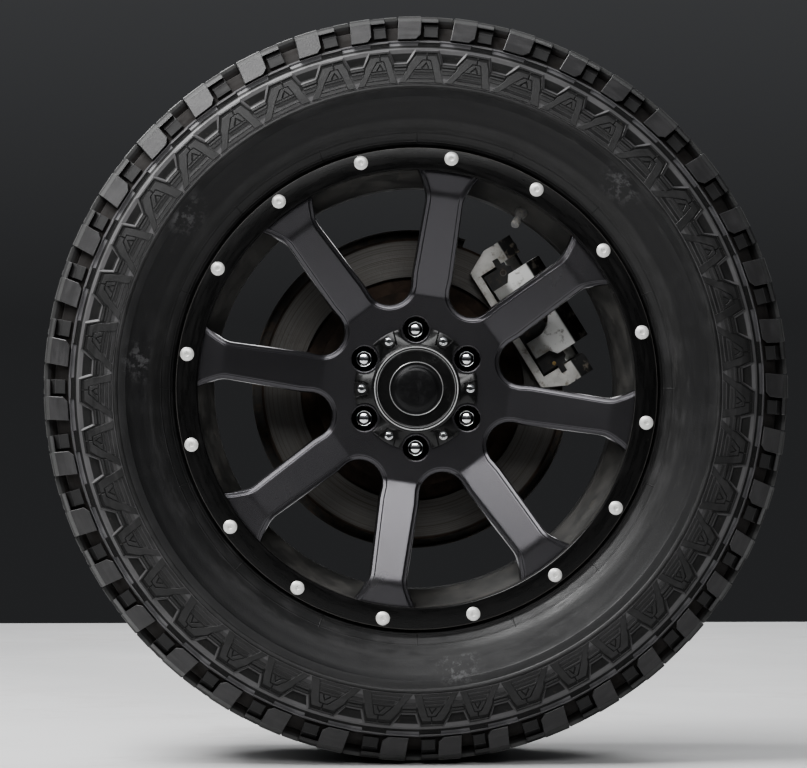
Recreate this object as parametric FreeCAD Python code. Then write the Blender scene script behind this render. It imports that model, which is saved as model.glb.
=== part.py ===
import FreeCAD, Part
import math
import os

os.makedirs("parts", exist_ok=True)

V = FreeCAD.Vector

# The wheel turns about Y. The street side looks towards -Y and +Z is up.
# The origin is the centre of the inner end of the axle tube, and every place along the axle
# is a distance outboard of it. Angles run clockwise from the top, seen from the street side.
AXIS = V(0, 1, 0)
CENTRE = V(0, 0, 0)
TURN = 360
OVERRUN = 1.0          # how far a cut runs past the face it opens
SLIDE_FIT = 0.05       # radial play of turned pieces that fit in each other
SEAT_GAP = 0.1         # gap between curved faces that are bolted or welded together
SKIN_GAP = 0.3         # gap left between soft or curved pieces and what carries them

# Axle tube and its end flange
TUBE_R = 41.275
TUBE_WALL = 7.0
TUBE_LENGTH = 180.0
FLANGE_R = 71.0
FLANGE_THICKNESS = 12.0
FLANGE_WELD = 5.0
FLANGE_BOLT_R = 5.0
FLANGE_BOLT_CIRCLE_R = 58.0
FLANGE_BOLTS = 4
FLANGE_BOLT_HEAD_HEIGHT = 6.5
FLANGE_BOLT_HEAD_FLATS = 16.0
FLANGE_NUT_HEIGHT = 9.0

# Axle shaft, its bearing and its wheel flange
SHAFT_R = 19.0
JOURNAL_R = 22.5
BEARING_WIDTH = 26.0
RETAINER_THICKNESS = 8.0
SHAFT_FLANGE_R = 92.0
SHAFT_FLANGE_THICKNESS = 12.0
PILOT_R = 43.5
PILOT_LENGTH = 20.0
PILOT_DISH_R = 30.0
PILOT_DISH_DEPTH = 8.0

# Brake disc
DISC_R = 175.0
DISC_THICKNESS = 28.0
CHEEK_THICKNESS = 9.0
DISC_VANES = 32
VANE_WIDTH = 5.0
FRICTION_INNER_R = 130.0
CHEEK_INNER_R = 118.0
HAT_R = 112.0
HAT_WALL = 8.0
HAT_HEIGHT = 68.5      # hat face down to the inner friction face
RELIEF_DEPTH = 6.5

# Dust shield
SHIELD_R = 186.0
SHIELD_THICKNESS = 1.5
SHIELD_LIP = 15.0
SHIELD_GAP_HALF_ANGLE = 38.0

# Caliper bracket. It is drawn with the caliper at the top, then turned to its angle.
CALIPER_ANGLE = 58.0
BRACKET_THICKNESS = 10.0
BRACKET_HUB_R = 71.0
ARM_WIDTH = 23.0
ARM_LOW_Z = 168.0
ARM_BRIDGE_Z = 179.0
ARM_TOP_Z = 190.0
LEG_INNER_X = 69.0
LEG_LOW_Z = 127.5
LEG_FOOT_WIDTH = 9.0
LEG_TOP_Z = 172.0
LEG_BEND_Z = 155.0
LEG_CORNER = 7.0
TIE_HEIGHT = 9.0
TIE_THICKNESS = 8.0
LEG_THICKNESS = 10.0
LEG_PROUD = 4.0        # how far a leg's hooked end stands out from the arm behind it
RUNNING_GAP = 5.5      # between the turning disc and what reaches round it

# Brake pads
PAD_LOW_Z = 138.5
PAD_TOP_Z = 171.5
PAD_HALF_WIDTH = 66.0
LINING_THICKNESS = 10.0
LINING_INSET = 3.0
BACKING_THICKNESS = 5.5
PAD_GAP = 0.3
EAR_LOW_Z = 157.0
EAR_HEIGHT = 6.5
EAR_REACH = 7.5        # how far an ear enters the notch in the bracket's leg
EAR_GAP = 0.3

# Caliper
CALIPER_HALF_WIDTH = 54.0
CALIPER_TOP_Z = 206.0
BRIDGE_LOW_Z = 181.0
FINGER_THICKNESS = 15.0
FINGER_LOW_Z = 139.0
FINGER_STEP_Z = 158.0
FINGER_STEP = 8.0
FINGER_FACE_TOP_Z = 187.0
FINGER_SLOT_HALF_WIDTH = 25.4
HOUSING_DEPTH = 46.0
HOUSING_R = 37.0
PISTON_Z = 154.0
PISTON_R = 27.0
PISTON_GAP = 0.2
PISTON_WALL = 4.0
PISTON_REACH = 24.0
BRIDGE_EDGE = 6.0
BRIDGE_SLOPE = 16.0
PIN_X = 79.0
PIN_Z = 180.0
PIN_R = 5.0
PIN_EAR_R = 11.0
PIN_EAR_THICKNESS = 10.0
PIN_HEAD_HEIGHT = 6.0
PIN_HEAD_R = 8.0
BOOT_R = 8.5
BLEEDER_X = 24.0
BLEEDER_R = 4.0
BLEEDER_LENGTH = 16.0
HOSE_PORT_R = 5.0
HOSE_PORT_DEPTH = 12.0
HOSE_BOSS_R = 11.0
HOSE_BOSS_LENGTH = 8.0

# Wheel rim, nine inches between its flanges and twenty inches at the bead seats
BEAD_SEAT_R = 254.0
BEAD_SPAN = 228.6
FLANGE_HEIGHT = 17.5
FLANGE_WALL = 8.2
RING_THICKNESS = 5.0
WHEEL_OFFSET = 18.0    # wheel face outboard of the rim's centre plane
BARREL_WALL = 6.0
SEAT_WIDTH = 20.0
WELL_DROP = 25.0       # drops are down from the bead seats to the inside of the barrel
WELL_OUT = 75.0        # drop centre edges, outboard of the rim's centre plane
WELL_IN = 25.0
MID_DROP = 17.0        # over the brake
MID_OUT = 5.0
MID_IN = -60.0
LIP_DROP = 7.0

# Eight-spoke wheel centre
SPOKES = 8
FIRST_SPOKE_ANGLE = 8.5
HUB_FLAT_R = 103.0
HUB_FLAT_DEPTH = 35.0  # depths behind the plane of the lip
FLARE_LENGTH = 28.0    # from a spoke's crest to the inside of the lip
FACE_CREST_DEPTH = 10.0
FACE_EDGE_DEPTH = 11.0
PAD_FACE_R = 88.0
SPOKE_BACK_R = 122.0
SPOKE_BACK_DEPTH = 72.0
SPOKE_HALF_ROOT = 23.3
SPOKE_HALF_TIP = 21.1
SPOKE_HALF_FLARE = 35.3
WINDOW_ROOT_U = 119.0
WINDOW_BOTTOM_R = 99.0
LEDGE_WIDTH = 5.2
LEDGE_DEPTH = 3.0

# Lug holes, studs and nuts
LUGS = 6
LUG_CIRCLE_R = 67.5
STUD_R = 7.0
STUD_HEAD_R = 10.0
STUD_HEAD_HEIGHT = 4.0
STUD_LENGTH = 45.0
LUG_HOLE_R = 7.6
LUG_SEAT_HEIGHT = 25.0
LUG_SEAT_CONE = 6.0
LUG_WELL_R = 14.3
NUT_FLATS = 18.5
NUT_LENGTH = 40.0
NUT_CONE_R = 10.5
NUT_BEVEL = 4.0

# Centre cap
CAP_PLATE_R = 70.0
CAP_PLATE_THICKNESS = 4.0
CAP_SCALLOP_R = 18.0
CAP_DRUM_R = 48.6
CAP_DRUM_HEIGHT = 14.0
CAP_DRUM_BEVEL = 3.5
CAP_DISH_R = 40.0
CAP_DISH_DEPTH = 3.0
BADGE_R = 30.7
BADGE_HEIGHT = 4.0

# Lip ring rivets
RIVETS = 16
FIRST_RIVET_ANGLE = -14.0
RIVET_EDGE = 10.0      # rivets' middles in from the ring's outer edge
RIVET_HEAD_R = 8.0
RIVET_HEAD = 2.6

# Valve stem
VALVE_ANGLE = 31.0
VALVE_TIP_DROP = 38.0
VALVE_TIP_SHARE = 0.9  # how far out the tip comes, as a share of the way to the lip
VALVE_FOOT_R = 7.5
VALVE_NECK_R = 4.0
VALVE_CAP_R = 5.0
VALVE_CAP_LENGTH = 12.0

# Tyre
TYRE_R = 423.0
TYRE_HALF_WIDTH = 157.0
TREAD_EDGE_DROP = 4.0
TREAD_HALF_WIDTH = 131.0
SHOULDER_DROP = 35.0
SHOULDER_HALF_WIDTH = 147.0
WAIST_SHARE = 0.5      # where the sidewall is widest, as a share of the way up from the lip
PROTECTOR_HEIGHT = 20.0
PROTECTOR_PROUD = 24.0
BEAD_WIDTH = 22.0
CASING_THICKNESS = 15.0
TREAD_THICKNESS = 19.0

# Tread of the tyre, in forty pitches of three lengths; the shares are parts of one pitch
PITCH_ORDER = "LLLLMSMMLSMLLMLMMMMSSMMMLSMLLMMLMMLMMLMM"
PITCH_SHARES = {"S": 0.86, "M": 1.0, "L": 1.12}
FIRST_PITCH_ANGLE = -53.5
GROOVE_SHARES = (0.20, 0.465)
SLOT_SHARE = 0.13
SLOT_LEAN_SHARE = 0.1
TREAD_DEPTH = 14.0
GROOVE_SHELF = 3.0     # how far above the shoulder's turn the open grooves begin
GROOVE_FOOT = 6.0
GROOVE_END = 112.0     # grooves and slots end at these distances from the centre plane
SLOT_END = 100.0

# Places along the axle, worked out from the sizes above
TUBE_BORE_R = TUBE_R - TUBE_WALL
SHIELD_OUT = TUBE_LENGTH
BRACKET_OUT = SHIELD_OUT + SHIELD_THICKNESS
RETAINER_OUT = BRACKET_OUT + BRACKET_THICKNESS
DISC_IN = RETAINER_OUT + RUNNING_GAP
DISC_OUT = DISC_IN + DISC_THICKNESS
WHEEL_FACE = DISC_IN + HAT_HEIGHT
SHAFT_FLANGE_OUT = WHEEL_FACE - HAT_WALL
SHAFT_FLANGE_IN = SHAFT_FLANGE_OUT - SHAFT_FLANGE_THICKNESS
RIM_CENTRE = WHEEL_FACE - WHEEL_OFFSET
RIM_FLANGE_OUT = RIM_CENTRE + BEAD_SPAN / 2 + FLANGE_WALL
LIP_OUT = RIM_FLANGE_OUT + RING_THICKNESS
LIP_R = BEAD_SEAT_R + FLANGE_HEIGHT
LIP_INNER_R = BEAD_SEAT_R - LIP_DROP
WELL_R = BEAD_SEAT_R - WELL_DROP
MID_R = BEAD_SEAT_R - MID_DROP
VALVE_TIP_R = BEAD_SEAT_R - VALVE_TIP_DROP
FACE_CREST_R = LIP_INNER_R - FLARE_LENGTH
RIVET_CIRCLE_R = LIP_R - RIVET_EDGE
HUB_FACE = LIP_OUT - HUB_FLAT_DEPTH
NUT_SEAT = WHEEL_FACE + LUG_SEAT_HEIGHT
RIM_BACK = RIM_CENTRE + BEAD_SPAN / 2 - SEAT_WIDTH + SEAT_GAP
TREAD_EDGE_R = TYRE_R - TREAD_EDGE_DROP
SHOULDER_R = TYRE_R - SHOULDER_DROP
WAIST_R = LIP_R + (TYRE_R - LIP_R) * WAIST_SHARE


def place(radius, angle, out):
    """The point at a radius and clockwise angle from the top, a distance outboard."""
    a = math.radians(angle)
    return V(radius * math.sin(a), -out, radius * math.cos(a))


def turned(points):
    """A solid of revolution about the axle from an outline of (radius, outboard) points."""
    outline = [V(r, -out, 0) for r, out in points]
    face = Part.Face(Part.makePolygon(outline + outline[:1]))
    return face.revolve(CENTRE, AXIS, TURN)


def drum(radius, near, far):
    return Part.makeCylinder(radius, far - near, V(0, -far, 0), AXIS)


def collar(outer, inner, near, far):
    return turned([(inner, near), (outer, near), (outer, far), (inner, far)])


def pin(radius, circle_r, angle, near, far):
    """A round bar parallel to the axle."""
    return Part.makeCylinder(radius, far - near, place(circle_r, angle, far), AXIS)


def turned_by(shape, angle):
    copy = shape.copy()
    copy.rotate(CENTRE, AXIS, angle)
    return copy


def all_round(shape, count, first):
    return [turned_by(shape, first + k * TURN / count) for k in range(count)]


def block(x0, x1, z0, z1, near, far):
    """A box across the axle, between two places along it."""
    return Part.makeBox(x1 - x0, far - near, z1 - z0, V(x0, -far, z0))


def plate(points, near, far):
    """A flat plate cut to an outline of (x, z) points."""
    outline = [V(x, -far, z) for x, z in points]
    face = Part.Face(Part.makePolygon(outline + outline[:1]))
    return face.extrude(V(0, far - near, 0))


def profile(points, x0, x1):
    """A bar along X with an outline of (distance outboard, z) points."""
    outline = [V(x0, -out, z) for out, z in points]
    face = Part.Face(Part.makePolygon(outline + outline[:1]))
    return face.extrude(V(x1 - x0, 0, 0))


def hexagon(flats, circle_r, angle, near, far):
    """A six-sided bar parallel to the axle."""
    corner = flats / math.sqrt(3)
    middle = place(circle_r, angle, far)
    ring = [middle + place(corner, k * TURN / 6, 0) for k in range(6)]
    face = Part.Face(Part.makePolygon(ring + ring[:1]))
    return face.extrude(V(0, far - near, 0))


def mirrored(shape):
    return [shape, shape.mirror(CENTRE, V(1, 0, 0))]


def fused(shapes):
    first, rest = shapes[0], shapes[1:]
    return first.fuse(rest).removeSplitter() if rest else first


def at_caliper(shape):
    return turned_by(shape, CALIPER_ANGLE)


def pin_at(radius, near, far):
    """A round bar on a slide pin's line."""
    return Part.makeCylinder(radius, far - near, V(PIN_X, -far, PIN_Z + PIN_R), AXIS)


def flange_bolt_angles():
    return [CALIPER_ANGLE + (k + 0.5) * TURN / FLANGE_BOLTS for k in range(FLANGE_BOLTS)]


def flange_holes(near, far):
    r = FLANGE_BOLT_R + SLIDE_FIT
    return [pin(r, FLANGE_BOLT_CIRCLE_R, a, near, far) for a in flange_bolt_angles()]


# Axle tube with its welded end flange
def axle_tube():
    flange_in = TUBE_LENGTH - FLANGE_THICKNESS
    body = turned([
        (TUBE_BORE_R, 0), (TUBE_R, 0), (TUBE_R, flange_in - FLANGE_WELD),
        (TUBE_R + FLANGE_WELD, flange_in), (FLANGE_R, flange_in),
        (FLANGE_R, TUBE_LENGTH), (TUBE_BORE_R, TUBE_LENGTH)])
    return body.cut(flange_holes(flange_in - OVERRUN, TUBE_LENGTH + OVERRUN))


def wheel_bearing():
    return collar(TUBE_BORE_R - SLIDE_FIT, JOURNAL_R + SLIDE_FIT,
                  TUBE_LENGTH - BEARING_WIDTH, TUBE_LENGTH)


# The retainer is the plate that the flange bolts clamp over the bearing
def bearing_retainer():
    far = RETAINER_OUT + RETAINER_THICKNESS
    body = collar(FLANGE_R, JOURNAL_R + SKIN_GAP, RETAINER_OUT, far)
    return body.cut(flange_holes(RETAINER_OUT - OVERRUN, far + OVERRUN))


def flange_bolts():
    far = RETAINER_OUT + RETAINER_THICKNESS
    near = TUBE_LENGTH - FLANGE_THICKNESS
    bolts = []
    for a in flange_bolt_angles():
        shank = pin(FLANGE_BOLT_R, FLANGE_BOLT_CIRCLE_R, a, near - FLANGE_NUT_HEIGHT, far)
        head = hexagon(FLANGE_BOLT_HEAD_FLATS, FLANGE_BOLT_CIRCLE_R, a,
                       far, far + FLANGE_BOLT_HEAD_HEIGHT)
        nut = hexagon(FLANGE_BOLT_HEAD_FLATS, FLANGE_BOLT_CIRCLE_R, a,
                      near - FLANGE_NUT_HEIGHT, near)
        bolts.append(fused([shank, head, nut]))
    return Part.makeCompound(bolts)


# Sheet steel shield behind the disc, open where the caliper reaches over it
def dust_shield():
    lip_out = SHIELD_OUT + SHIELD_LIP
    skin = SHIELD_THICKNESS
    body = turned([
        (TUBE_BORE_R, SHIELD_OUT), (SHIELD_R, SHIELD_OUT), (SHIELD_R, lip_out),
        (SHIELD_R - skin, lip_out), (SHIELD_R - skin, SHIELD_OUT + skin),
        (TUBE_BORE_R, SHIELD_OUT + skin)])
    reach = SHIELD_R * 2
    half = math.radians(SHIELD_GAP_HALF_ANGLE)
    side = reach * math.tan(half)
    gap = plate([(0, 0), (side, reach), (-side, reach)],
                SHIELD_OUT - OVERRUN, lip_out + OVERRUN)
    kept = drum(FLANGE_R, SHIELD_OUT - OVERRUN, lip_out + OVERRUN)
    body = body.cut(at_caliper(gap).cut(kept))
    return body.cut(flange_holes(SHIELD_OUT - OVERRUN, lip_out + OVERRUN))


# Caliper bracket, a casting that reaches over the disc on two arms with hooked ends
def caliper_bracket():
    leg_in = DISC_OUT + RUNNING_GAP
    leg_out = leg_in + LEG_THICKNESS
    arm_out = leg_out - LEG_PROUD
    x = LEG_INNER_X
    arm_x = x + ARM_WIDTH
    notch_z = PAD_LOW_Z - EAR_GAP
    hub = drum(BRACKET_HUB_R, BRACKET_OUT, RETAINER_OUT)
    fan = plate([
        (-BRACKET_HUB_R, 0), (BRACKET_HUB_R, 0), (arm_x, ARM_LOW_Z), (arm_x, ARM_TOP_Z),
        (x, ARM_TOP_Z), (x, notch_z), (-x, notch_z), (-x, ARM_TOP_Z), (-arm_x, ARM_TOP_Z),
        (-arm_x, ARM_LOW_Z)], BRACKET_OUT, RETAINER_OUT)
    bridge = block(x, arm_x, ARM_BRIDGE_Z, ARM_TOP_Z, BRACKET_OUT, arm_out)
    riser = block(x, arm_x, ARM_LOW_Z, ARM_TOP_Z, leg_in, arm_out)
    hook = plate([
        (x, LEG_LOW_Z), (x + LEG_FOOT_WIDTH, LEG_LOW_Z), (arm_x, LEG_BEND_Z),
        (arm_x, LEG_TOP_Z - LEG_CORNER), (arm_x - LEG_CORNER, LEG_TOP_Z),
        (x, LEG_TOP_Z)], leg_in, leg_out)
    tie = block(-x, x, LEG_LOW_Z, LEG_LOW_Z + TIE_HEIGHT, leg_out - TIE_THICKNESS, leg_out)
    body = fused([hub, fan, tie] + mirrored(bridge) + mirrored(riser) + mirrored(hook))
    body = body.cut(drum(TUBE_BORE_R, BRACKET_OUT - OVERRUN, RETAINER_OUT + OVERRUN))
    pin_hole = pin_at(PIN_R + SLIDE_FIT, BRACKET_OUT - OVERRUN, leg_in)
    ear_notch = block(0, x + EAR_REACH + EAR_GAP, EAR_LOW_Z - EAR_GAP,
                      EAR_LOW_Z + EAR_HEIGHT + EAR_GAP, BRACKET_OUT - OVERRUN,
                      leg_out + OVERRUN)
    body = at_caliper(body.cut(mirrored(pin_hole) + mirrored(ear_notch)))
    return body.cut(flange_holes(BRACKET_OUT - OVERRUN, RETAINER_OUT + OVERRUN))


# Friction linings on each side of the disc
def lining(near):
    inset = LINING_INSET
    return plate([
        (-PAD_HALF_WIDTH + inset, PAD_LOW_Z + inset), (PAD_HALF_WIDTH - inset, PAD_LOW_Z + inset),
        (PAD_HALF_WIDTH - inset, PAD_TOP_Z - inset * 4), (PAD_HALF_WIDTH - inset * 4, PAD_TOP_Z - inset),
        (-PAD_HALF_WIDTH + inset * 4, PAD_TOP_Z - inset), (-PAD_HALF_WIDTH + inset, PAD_TOP_Z - inset * 4)],
        near, near + LINING_THICKNESS)


def pad_linings():
    outer = lining(DISC_OUT + PAD_GAP)
    inner = lining(DISC_IN - PAD_GAP - LINING_THICKNESS)
    return Part.makeCompound([at_caliper(outer), at_caliper(inner)])


# Steel backing plates with an ear at each end that rests in the bracket's legs
def backing(near):
    far = near + BACKING_THICKNESS
    body = plate([
        (-PAD_HALF_WIDTH, PAD_LOW_Z), (PAD_HALF_WIDTH, PAD_LOW_Z),
        (PAD_HALF_WIDTH, PAD_TOP_Z - BACKING_THICKNESS),
        (PAD_HALF_WIDTH - BACKING_THICKNESS, PAD_TOP_Z),
        (-PAD_HALF_WIDTH + BACKING_THICKNESS, PAD_TOP_Z),
        (-PAD_HALF_WIDTH, PAD_TOP_Z - BACKING_THICKNESS)], near, far)
    ear = block(0, LEG_INNER_X + EAR_REACH, EAR_LOW_Z, EAR_LOW_Z + EAR_HEIGHT, near, far)
    return fused([body] + mirrored(ear))


def pad_backings():
    outer = backing(DISC_OUT + PAD_GAP + LINING_THICKNESS)
    inner = backing(DISC_IN - PAD_GAP - LINING_THICKNESS - BACKING_THICKNESS)
    return Part.makeCompound([at_caliper(outer), at_caliper(inner)])


# Places of the caliper along the axle, from the pads that it presses
FINGER_IN = DISC_OUT + PAD_GAP + LINING_THICKNESS + BACKING_THICKNESS
FINGER_OUT = FINGER_IN + FINGER_THICKNESS
PISTON_OUT = DISC_IN - PAD_GAP - LINING_THICKNESS - BACKING_THICKNESS
HOUSING_OUT = PISTON_OUT - BACKING_THICKNESS
HOUSING_IN = HOUSING_OUT - HOUSING_DEPTH
PIN_EAR_IN = HOUSING_OUT - PIN_EAR_THICKNESS * 2
PIN_EAR_OUT = PIN_EAR_IN + PIN_EAR_THICKNESS


# Sliding caliper: a piston housing inboard, a bridge over the disc and two fingers
def caliper_body():
    w = CALIPER_HALF_WIDTH
    e = BRIDGE_EDGE
    back = HOUSING_IN + e
    step = w - FINGER_STEP
    bridge = profile([
        (back, BRIDGE_LOW_Z), (FINGER_IN, BRIDGE_LOW_Z), (FINGER_IN, FINGER_STEP_Z + e),
        (FINGER_OUT, FINGER_STEP_Z + e), (FINGER_OUT, FINGER_FACE_TOP_Z),
        (FINGER_OUT - BRIDGE_SLOPE, CALIPER_TOP_Z), (back + e, CALIPER_TOP_Z),
        (back, CALIPER_TOP_Z - e)], -w, w)
    fingers = plate([
        (-step, FINGER_LOW_Z), (step, FINGER_LOW_Z), (step, FINGER_STEP_Z),
        (w, FINGER_STEP_Z + e), (-w, FINGER_STEP_Z + e), (-step, FINGER_STEP_Z)],
        FINGER_IN, FINGER_OUT)
    housing = Part.makeCylinder(HOUSING_R, HOUSING_DEPTH, V(0, -HOUSING_OUT, PISTON_Z), AXIS)
    web = block(-step, step, PISTON_Z, BRIDGE_LOW_Z + OVERRUN, back, HOUSING_OUT)
    ear = pin_at(PIN_EAR_R, PIN_EAR_IN, PIN_EAR_OUT)
    arm = block(0, PIN_X, PIN_Z + PIN_R - PIN_EAR_R, PIN_Z + PIN_R + PIN_EAR_R / 2,
                PIN_EAR_IN, PIN_EAR_OUT)
    boss = Part.makeCylinder(HOSE_BOSS_R, HOSE_BOSS_LENGTH, V(0, -HOUSING_IN, PISTON_Z), AXIS)
    body = fused([bridge, fingers, housing, web, boss] + mirrored(ear) + mirrored(arm))
    s = FINGER_SLOT_HALF_WIDTH
    slot = fused([
        Part.makeCylinder(s, FINGER_THICKNESS, V(0, -FINGER_OUT, PISTON_Z), AXIS),
        block(-s, s, FINGER_LOW_Z - OVERRUN, PISTON_Z, FINGER_IN, FINGER_OUT)])
    bore = Part.makeCylinder(PISTON_R + PISTON_GAP, PISTON_REACH + OVERRUN,
                             V(0, -HOUSING_OUT - OVERRUN, PISTON_Z), AXIS)
    port = Part.makeCylinder(HOSE_PORT_R, HOSE_PORT_DEPTH,
                             V(0, -HOUSING_IN - HOSE_PORT_DEPTH + HOSE_BOSS_LENGTH, PISTON_Z), AXIS)
    pin_hole = pin_at(PIN_R + SLIDE_FIT, PIN_EAR_IN - OVERRUN, PIN_EAR_OUT + OVERRUN)
    return at_caliper(body.cut([slot, bore, port] + mirrored(pin_hole)))


def caliper_piston():
    reach = HOUSING_OUT - PISTON_REACH
    body = Part.makeCylinder(PISTON_R, PISTON_OUT - reach, V(0, -PISTON_OUT, PISTON_Z), AXIS)
    cup = Part.makeCylinder(PISTON_R - PISTON_WALL, PISTON_OUT - reach - PISTON_WALL,
                            V(0, -PISTON_OUT, PISTON_Z), AXIS)
    return at_caliper(body.cut(cup))


def slide_pins():
    far = DISC_IN
    body = fused([pin_at(PIN_R, PIN_EAR_IN, far),
                  pin_at(PIN_HEAD_R, PIN_EAR_IN - PIN_HEAD_HEIGHT, PIN_EAR_IN)])
    return Part.makeCompound([at_caliper(s) for s in mirrored(body)])


def pin_boots():
    near, far = PIN_EAR_OUT, BRACKET_OUT
    body = pin_at(BOOT_R, near, far).cut(pin_at(PIN_R + SLIDE_FIT, near - OVERRUN, far + OVERRUN))
    return Part.makeCompound([at_caliper(s) for s in mirrored(body)])


def bleeder_screw():
    near = HOUSING_IN + BRIDGE_EDGE - BLEEDER_LENGTH
    body = Part.makeCylinder(BLEEDER_R, BLEEDER_LENGTH,
                             V(BLEEDER_X, -near - BLEEDER_LENGTH, CALIPER_TOP_Z - BLEEDER_R * 4), AXIS)
    return at_caliper(body)


# Axle shaft with the flange that carries disc and wheel
def axle_shaft():
    step = TUBE_LENGTH - BEARING_WIDTH
    body = turned([
        (0, 0), (SHAFT_R, 0), (SHAFT_R, step), (JOURNAL_R, step),
        (JOURNAL_R, SHAFT_FLANGE_IN - FLANGE_WELD), (JOURNAL_R + FLANGE_WELD, SHAFT_FLANGE_IN),
        (SHAFT_FLANGE_R, SHAFT_FLANGE_IN), (SHAFT_FLANGE_R, SHAFT_FLANGE_OUT),
        (PILOT_R, SHAFT_FLANGE_OUT), (PILOT_R, WHEEL_FACE + PILOT_LENGTH),
        (PILOT_DISH_R, WHEEL_FACE + PILOT_LENGTH),
        (PILOT_DISH_R, WHEEL_FACE + PILOT_LENGTH - PILOT_DISH_DEPTH),
        (0, WHEEL_FACE + PILOT_LENGTH - PILOT_DISH_DEPTH)])
    hole = pin(STUD_R + SLIDE_FIT, LUG_CIRCLE_R, 0, SHAFT_FLANGE_IN - OVERRUN,
               SHAFT_FLANGE_OUT + OVERRUN)
    return body.cut(all_round(hole, LUGS, 0))


def wheel_studs():
    shank = pin(STUD_R, LUG_CIRCLE_R, 0, SHAFT_FLANGE_IN, WHEEL_FACE + STUD_LENGTH)
    head = pin(STUD_HEAD_R, LUG_CIRCLE_R, 0, SHAFT_FLANGE_IN - STUD_HEAD_HEIGHT, SHAFT_FLANGE_IN)
    return Part.makeCompound(all_round(fused([shank, head]), LUGS, 0))


# Vented brake disc: two cheeks held apart by vanes, and the hat
def brake_disc():
    cheek_in = DISC_OUT - CHEEK_THICKNESS
    hat = turned([
        (PILOT_R + SEAT_GAP, SHAFT_FLANGE_OUT), (PILOT_R + SEAT_GAP, WHEEL_FACE),
        (HAT_R, WHEEL_FACE), (HAT_R, DISC_OUT - RELIEF_DEPTH),
        (FRICTION_INNER_R, DISC_OUT - RELIEF_DEPTH), (FRICTION_INNER_R, DISC_OUT),
        (DISC_R, DISC_OUT), (DISC_R, cheek_in), (HAT_R - HAT_WALL, cheek_in),
        (HAT_R - HAT_WALL, SHAFT_FLANGE_OUT)])
    inner_cheek = collar(DISC_R, CHEEK_INNER_R, DISC_IN, DISC_IN + CHEEK_THICKNESS)
    vane = block(-VANE_WIDTH / 2, VANE_WIDTH / 2, CHEEK_INNER_R + VANE_WIDTH,
                 DISC_R - VANE_WIDTH, DISC_IN + CHEEK_THICKNESS, cheek_in)
    body = fused([hat, inner_cheek] + all_round(vane, DISC_VANES, 0))
    hole = pin(LUG_HOLE_R, LUG_CIRCLE_R, 0, SHAFT_FLANGE_OUT - OVERRUN, WHEEL_FACE + OVERRUN)
    return body.cut(all_round(hole, LUGS, 0))


# Rim barrel, an outline of (radius, distance outboard of the rim's centre plane)
def wheel_barrel():
    half = BEAD_SPAN / 2
    edge = half + FLANGE_WALL
    outline = [
        (LIP_INNER_R + SEAT_GAP, edge), (LIP_R, edge), (LIP_R, half),
        (BEAD_SEAT_R, half), (BEAD_SEAT_R, half - SEAT_WIDTH),
        (WELL_R + BARREL_WALL, WELL_OUT), (WELL_R + BARREL_WALL, WELL_IN),
        (MID_R + BARREL_WALL, MID_OUT), (MID_R + BARREL_WALL, MID_IN),
        (BEAD_SEAT_R, SEAT_WIDTH - half), (BEAD_SEAT_R, -half), (LIP_R, -half),
        (LIP_R, -edge), (LIP_R - BARREL_WALL, -edge),
        (BEAD_SEAT_R - BARREL_WALL, -half), (BEAD_SEAT_R - BARREL_WALL, SEAT_WIDTH - half),
        (MID_R, MID_IN), (MID_R, MID_OUT), (WELL_R, WELL_IN),
        (WELL_R, WELL_OUT - BARREL_WALL), (LIP_INNER_R + SEAT_GAP, half - SEAT_WIDTH)]
    return turned([(r, RIM_CENTRE + s) for r, s in outline])


def spoke_edge(along, half_width, widen):
    """A point on a window's right side, measured along the next spoke and across from it."""
    a = math.radians(TURN / SPOKES / 2)
    h = half_width - widen
    return along * math.sin(a) - h * math.cos(a), along * math.cos(a) + h * math.sin(a)


def window(widen, near, far):
    """One window between two spokes, centred at the top; widen opens it on every side."""
    root = spoke_edge(WINDOW_ROOT_U, SPOKE_HALF_ROOT, widen)
    kink = spoke_edge(FACE_CREST_R, SPOKE_HALF_TIP, widen)
    flare = spoke_edge(LIP_INNER_R, SPOKE_HALF_FLARE, widen)
    stretch = (LIP_INNER_R + LEDGE_WIDTH) / math.hypot(*flare)
    mouth = (kink[0] + (flare[0] - kink[0]) * stretch, kink[1] + (flare[1] - kink[1]) * stretch)
    top = V(0, -far, LIP_INNER_R * stretch + LEDGE_WIDTH)
    right = [V(x, -far, z) for x, z in (root, kink, mouth)]
    left = [V(-p.x, p.y, p.z) for p in right]
    bottom = V(0, -far, WINDOW_BOTTOM_R - widen)
    edges = [Part.Arc(left[0], bottom, right[0]).toShape(),
             Part.LineSegment(right[0], right[1]).toShape(),
             Part.LineSegment(right[1], right[2]).toShape(),
             Part.Arc(right[2], top, left[2]).toShape(),
             Part.LineSegment(left[2], left[1]).toShape(),
             Part.LineSegment(left[1], left[0]).toShape()]
    return Part.Face(Part.Wire(edges)).extrude(V(0, far - near, 0))


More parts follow.
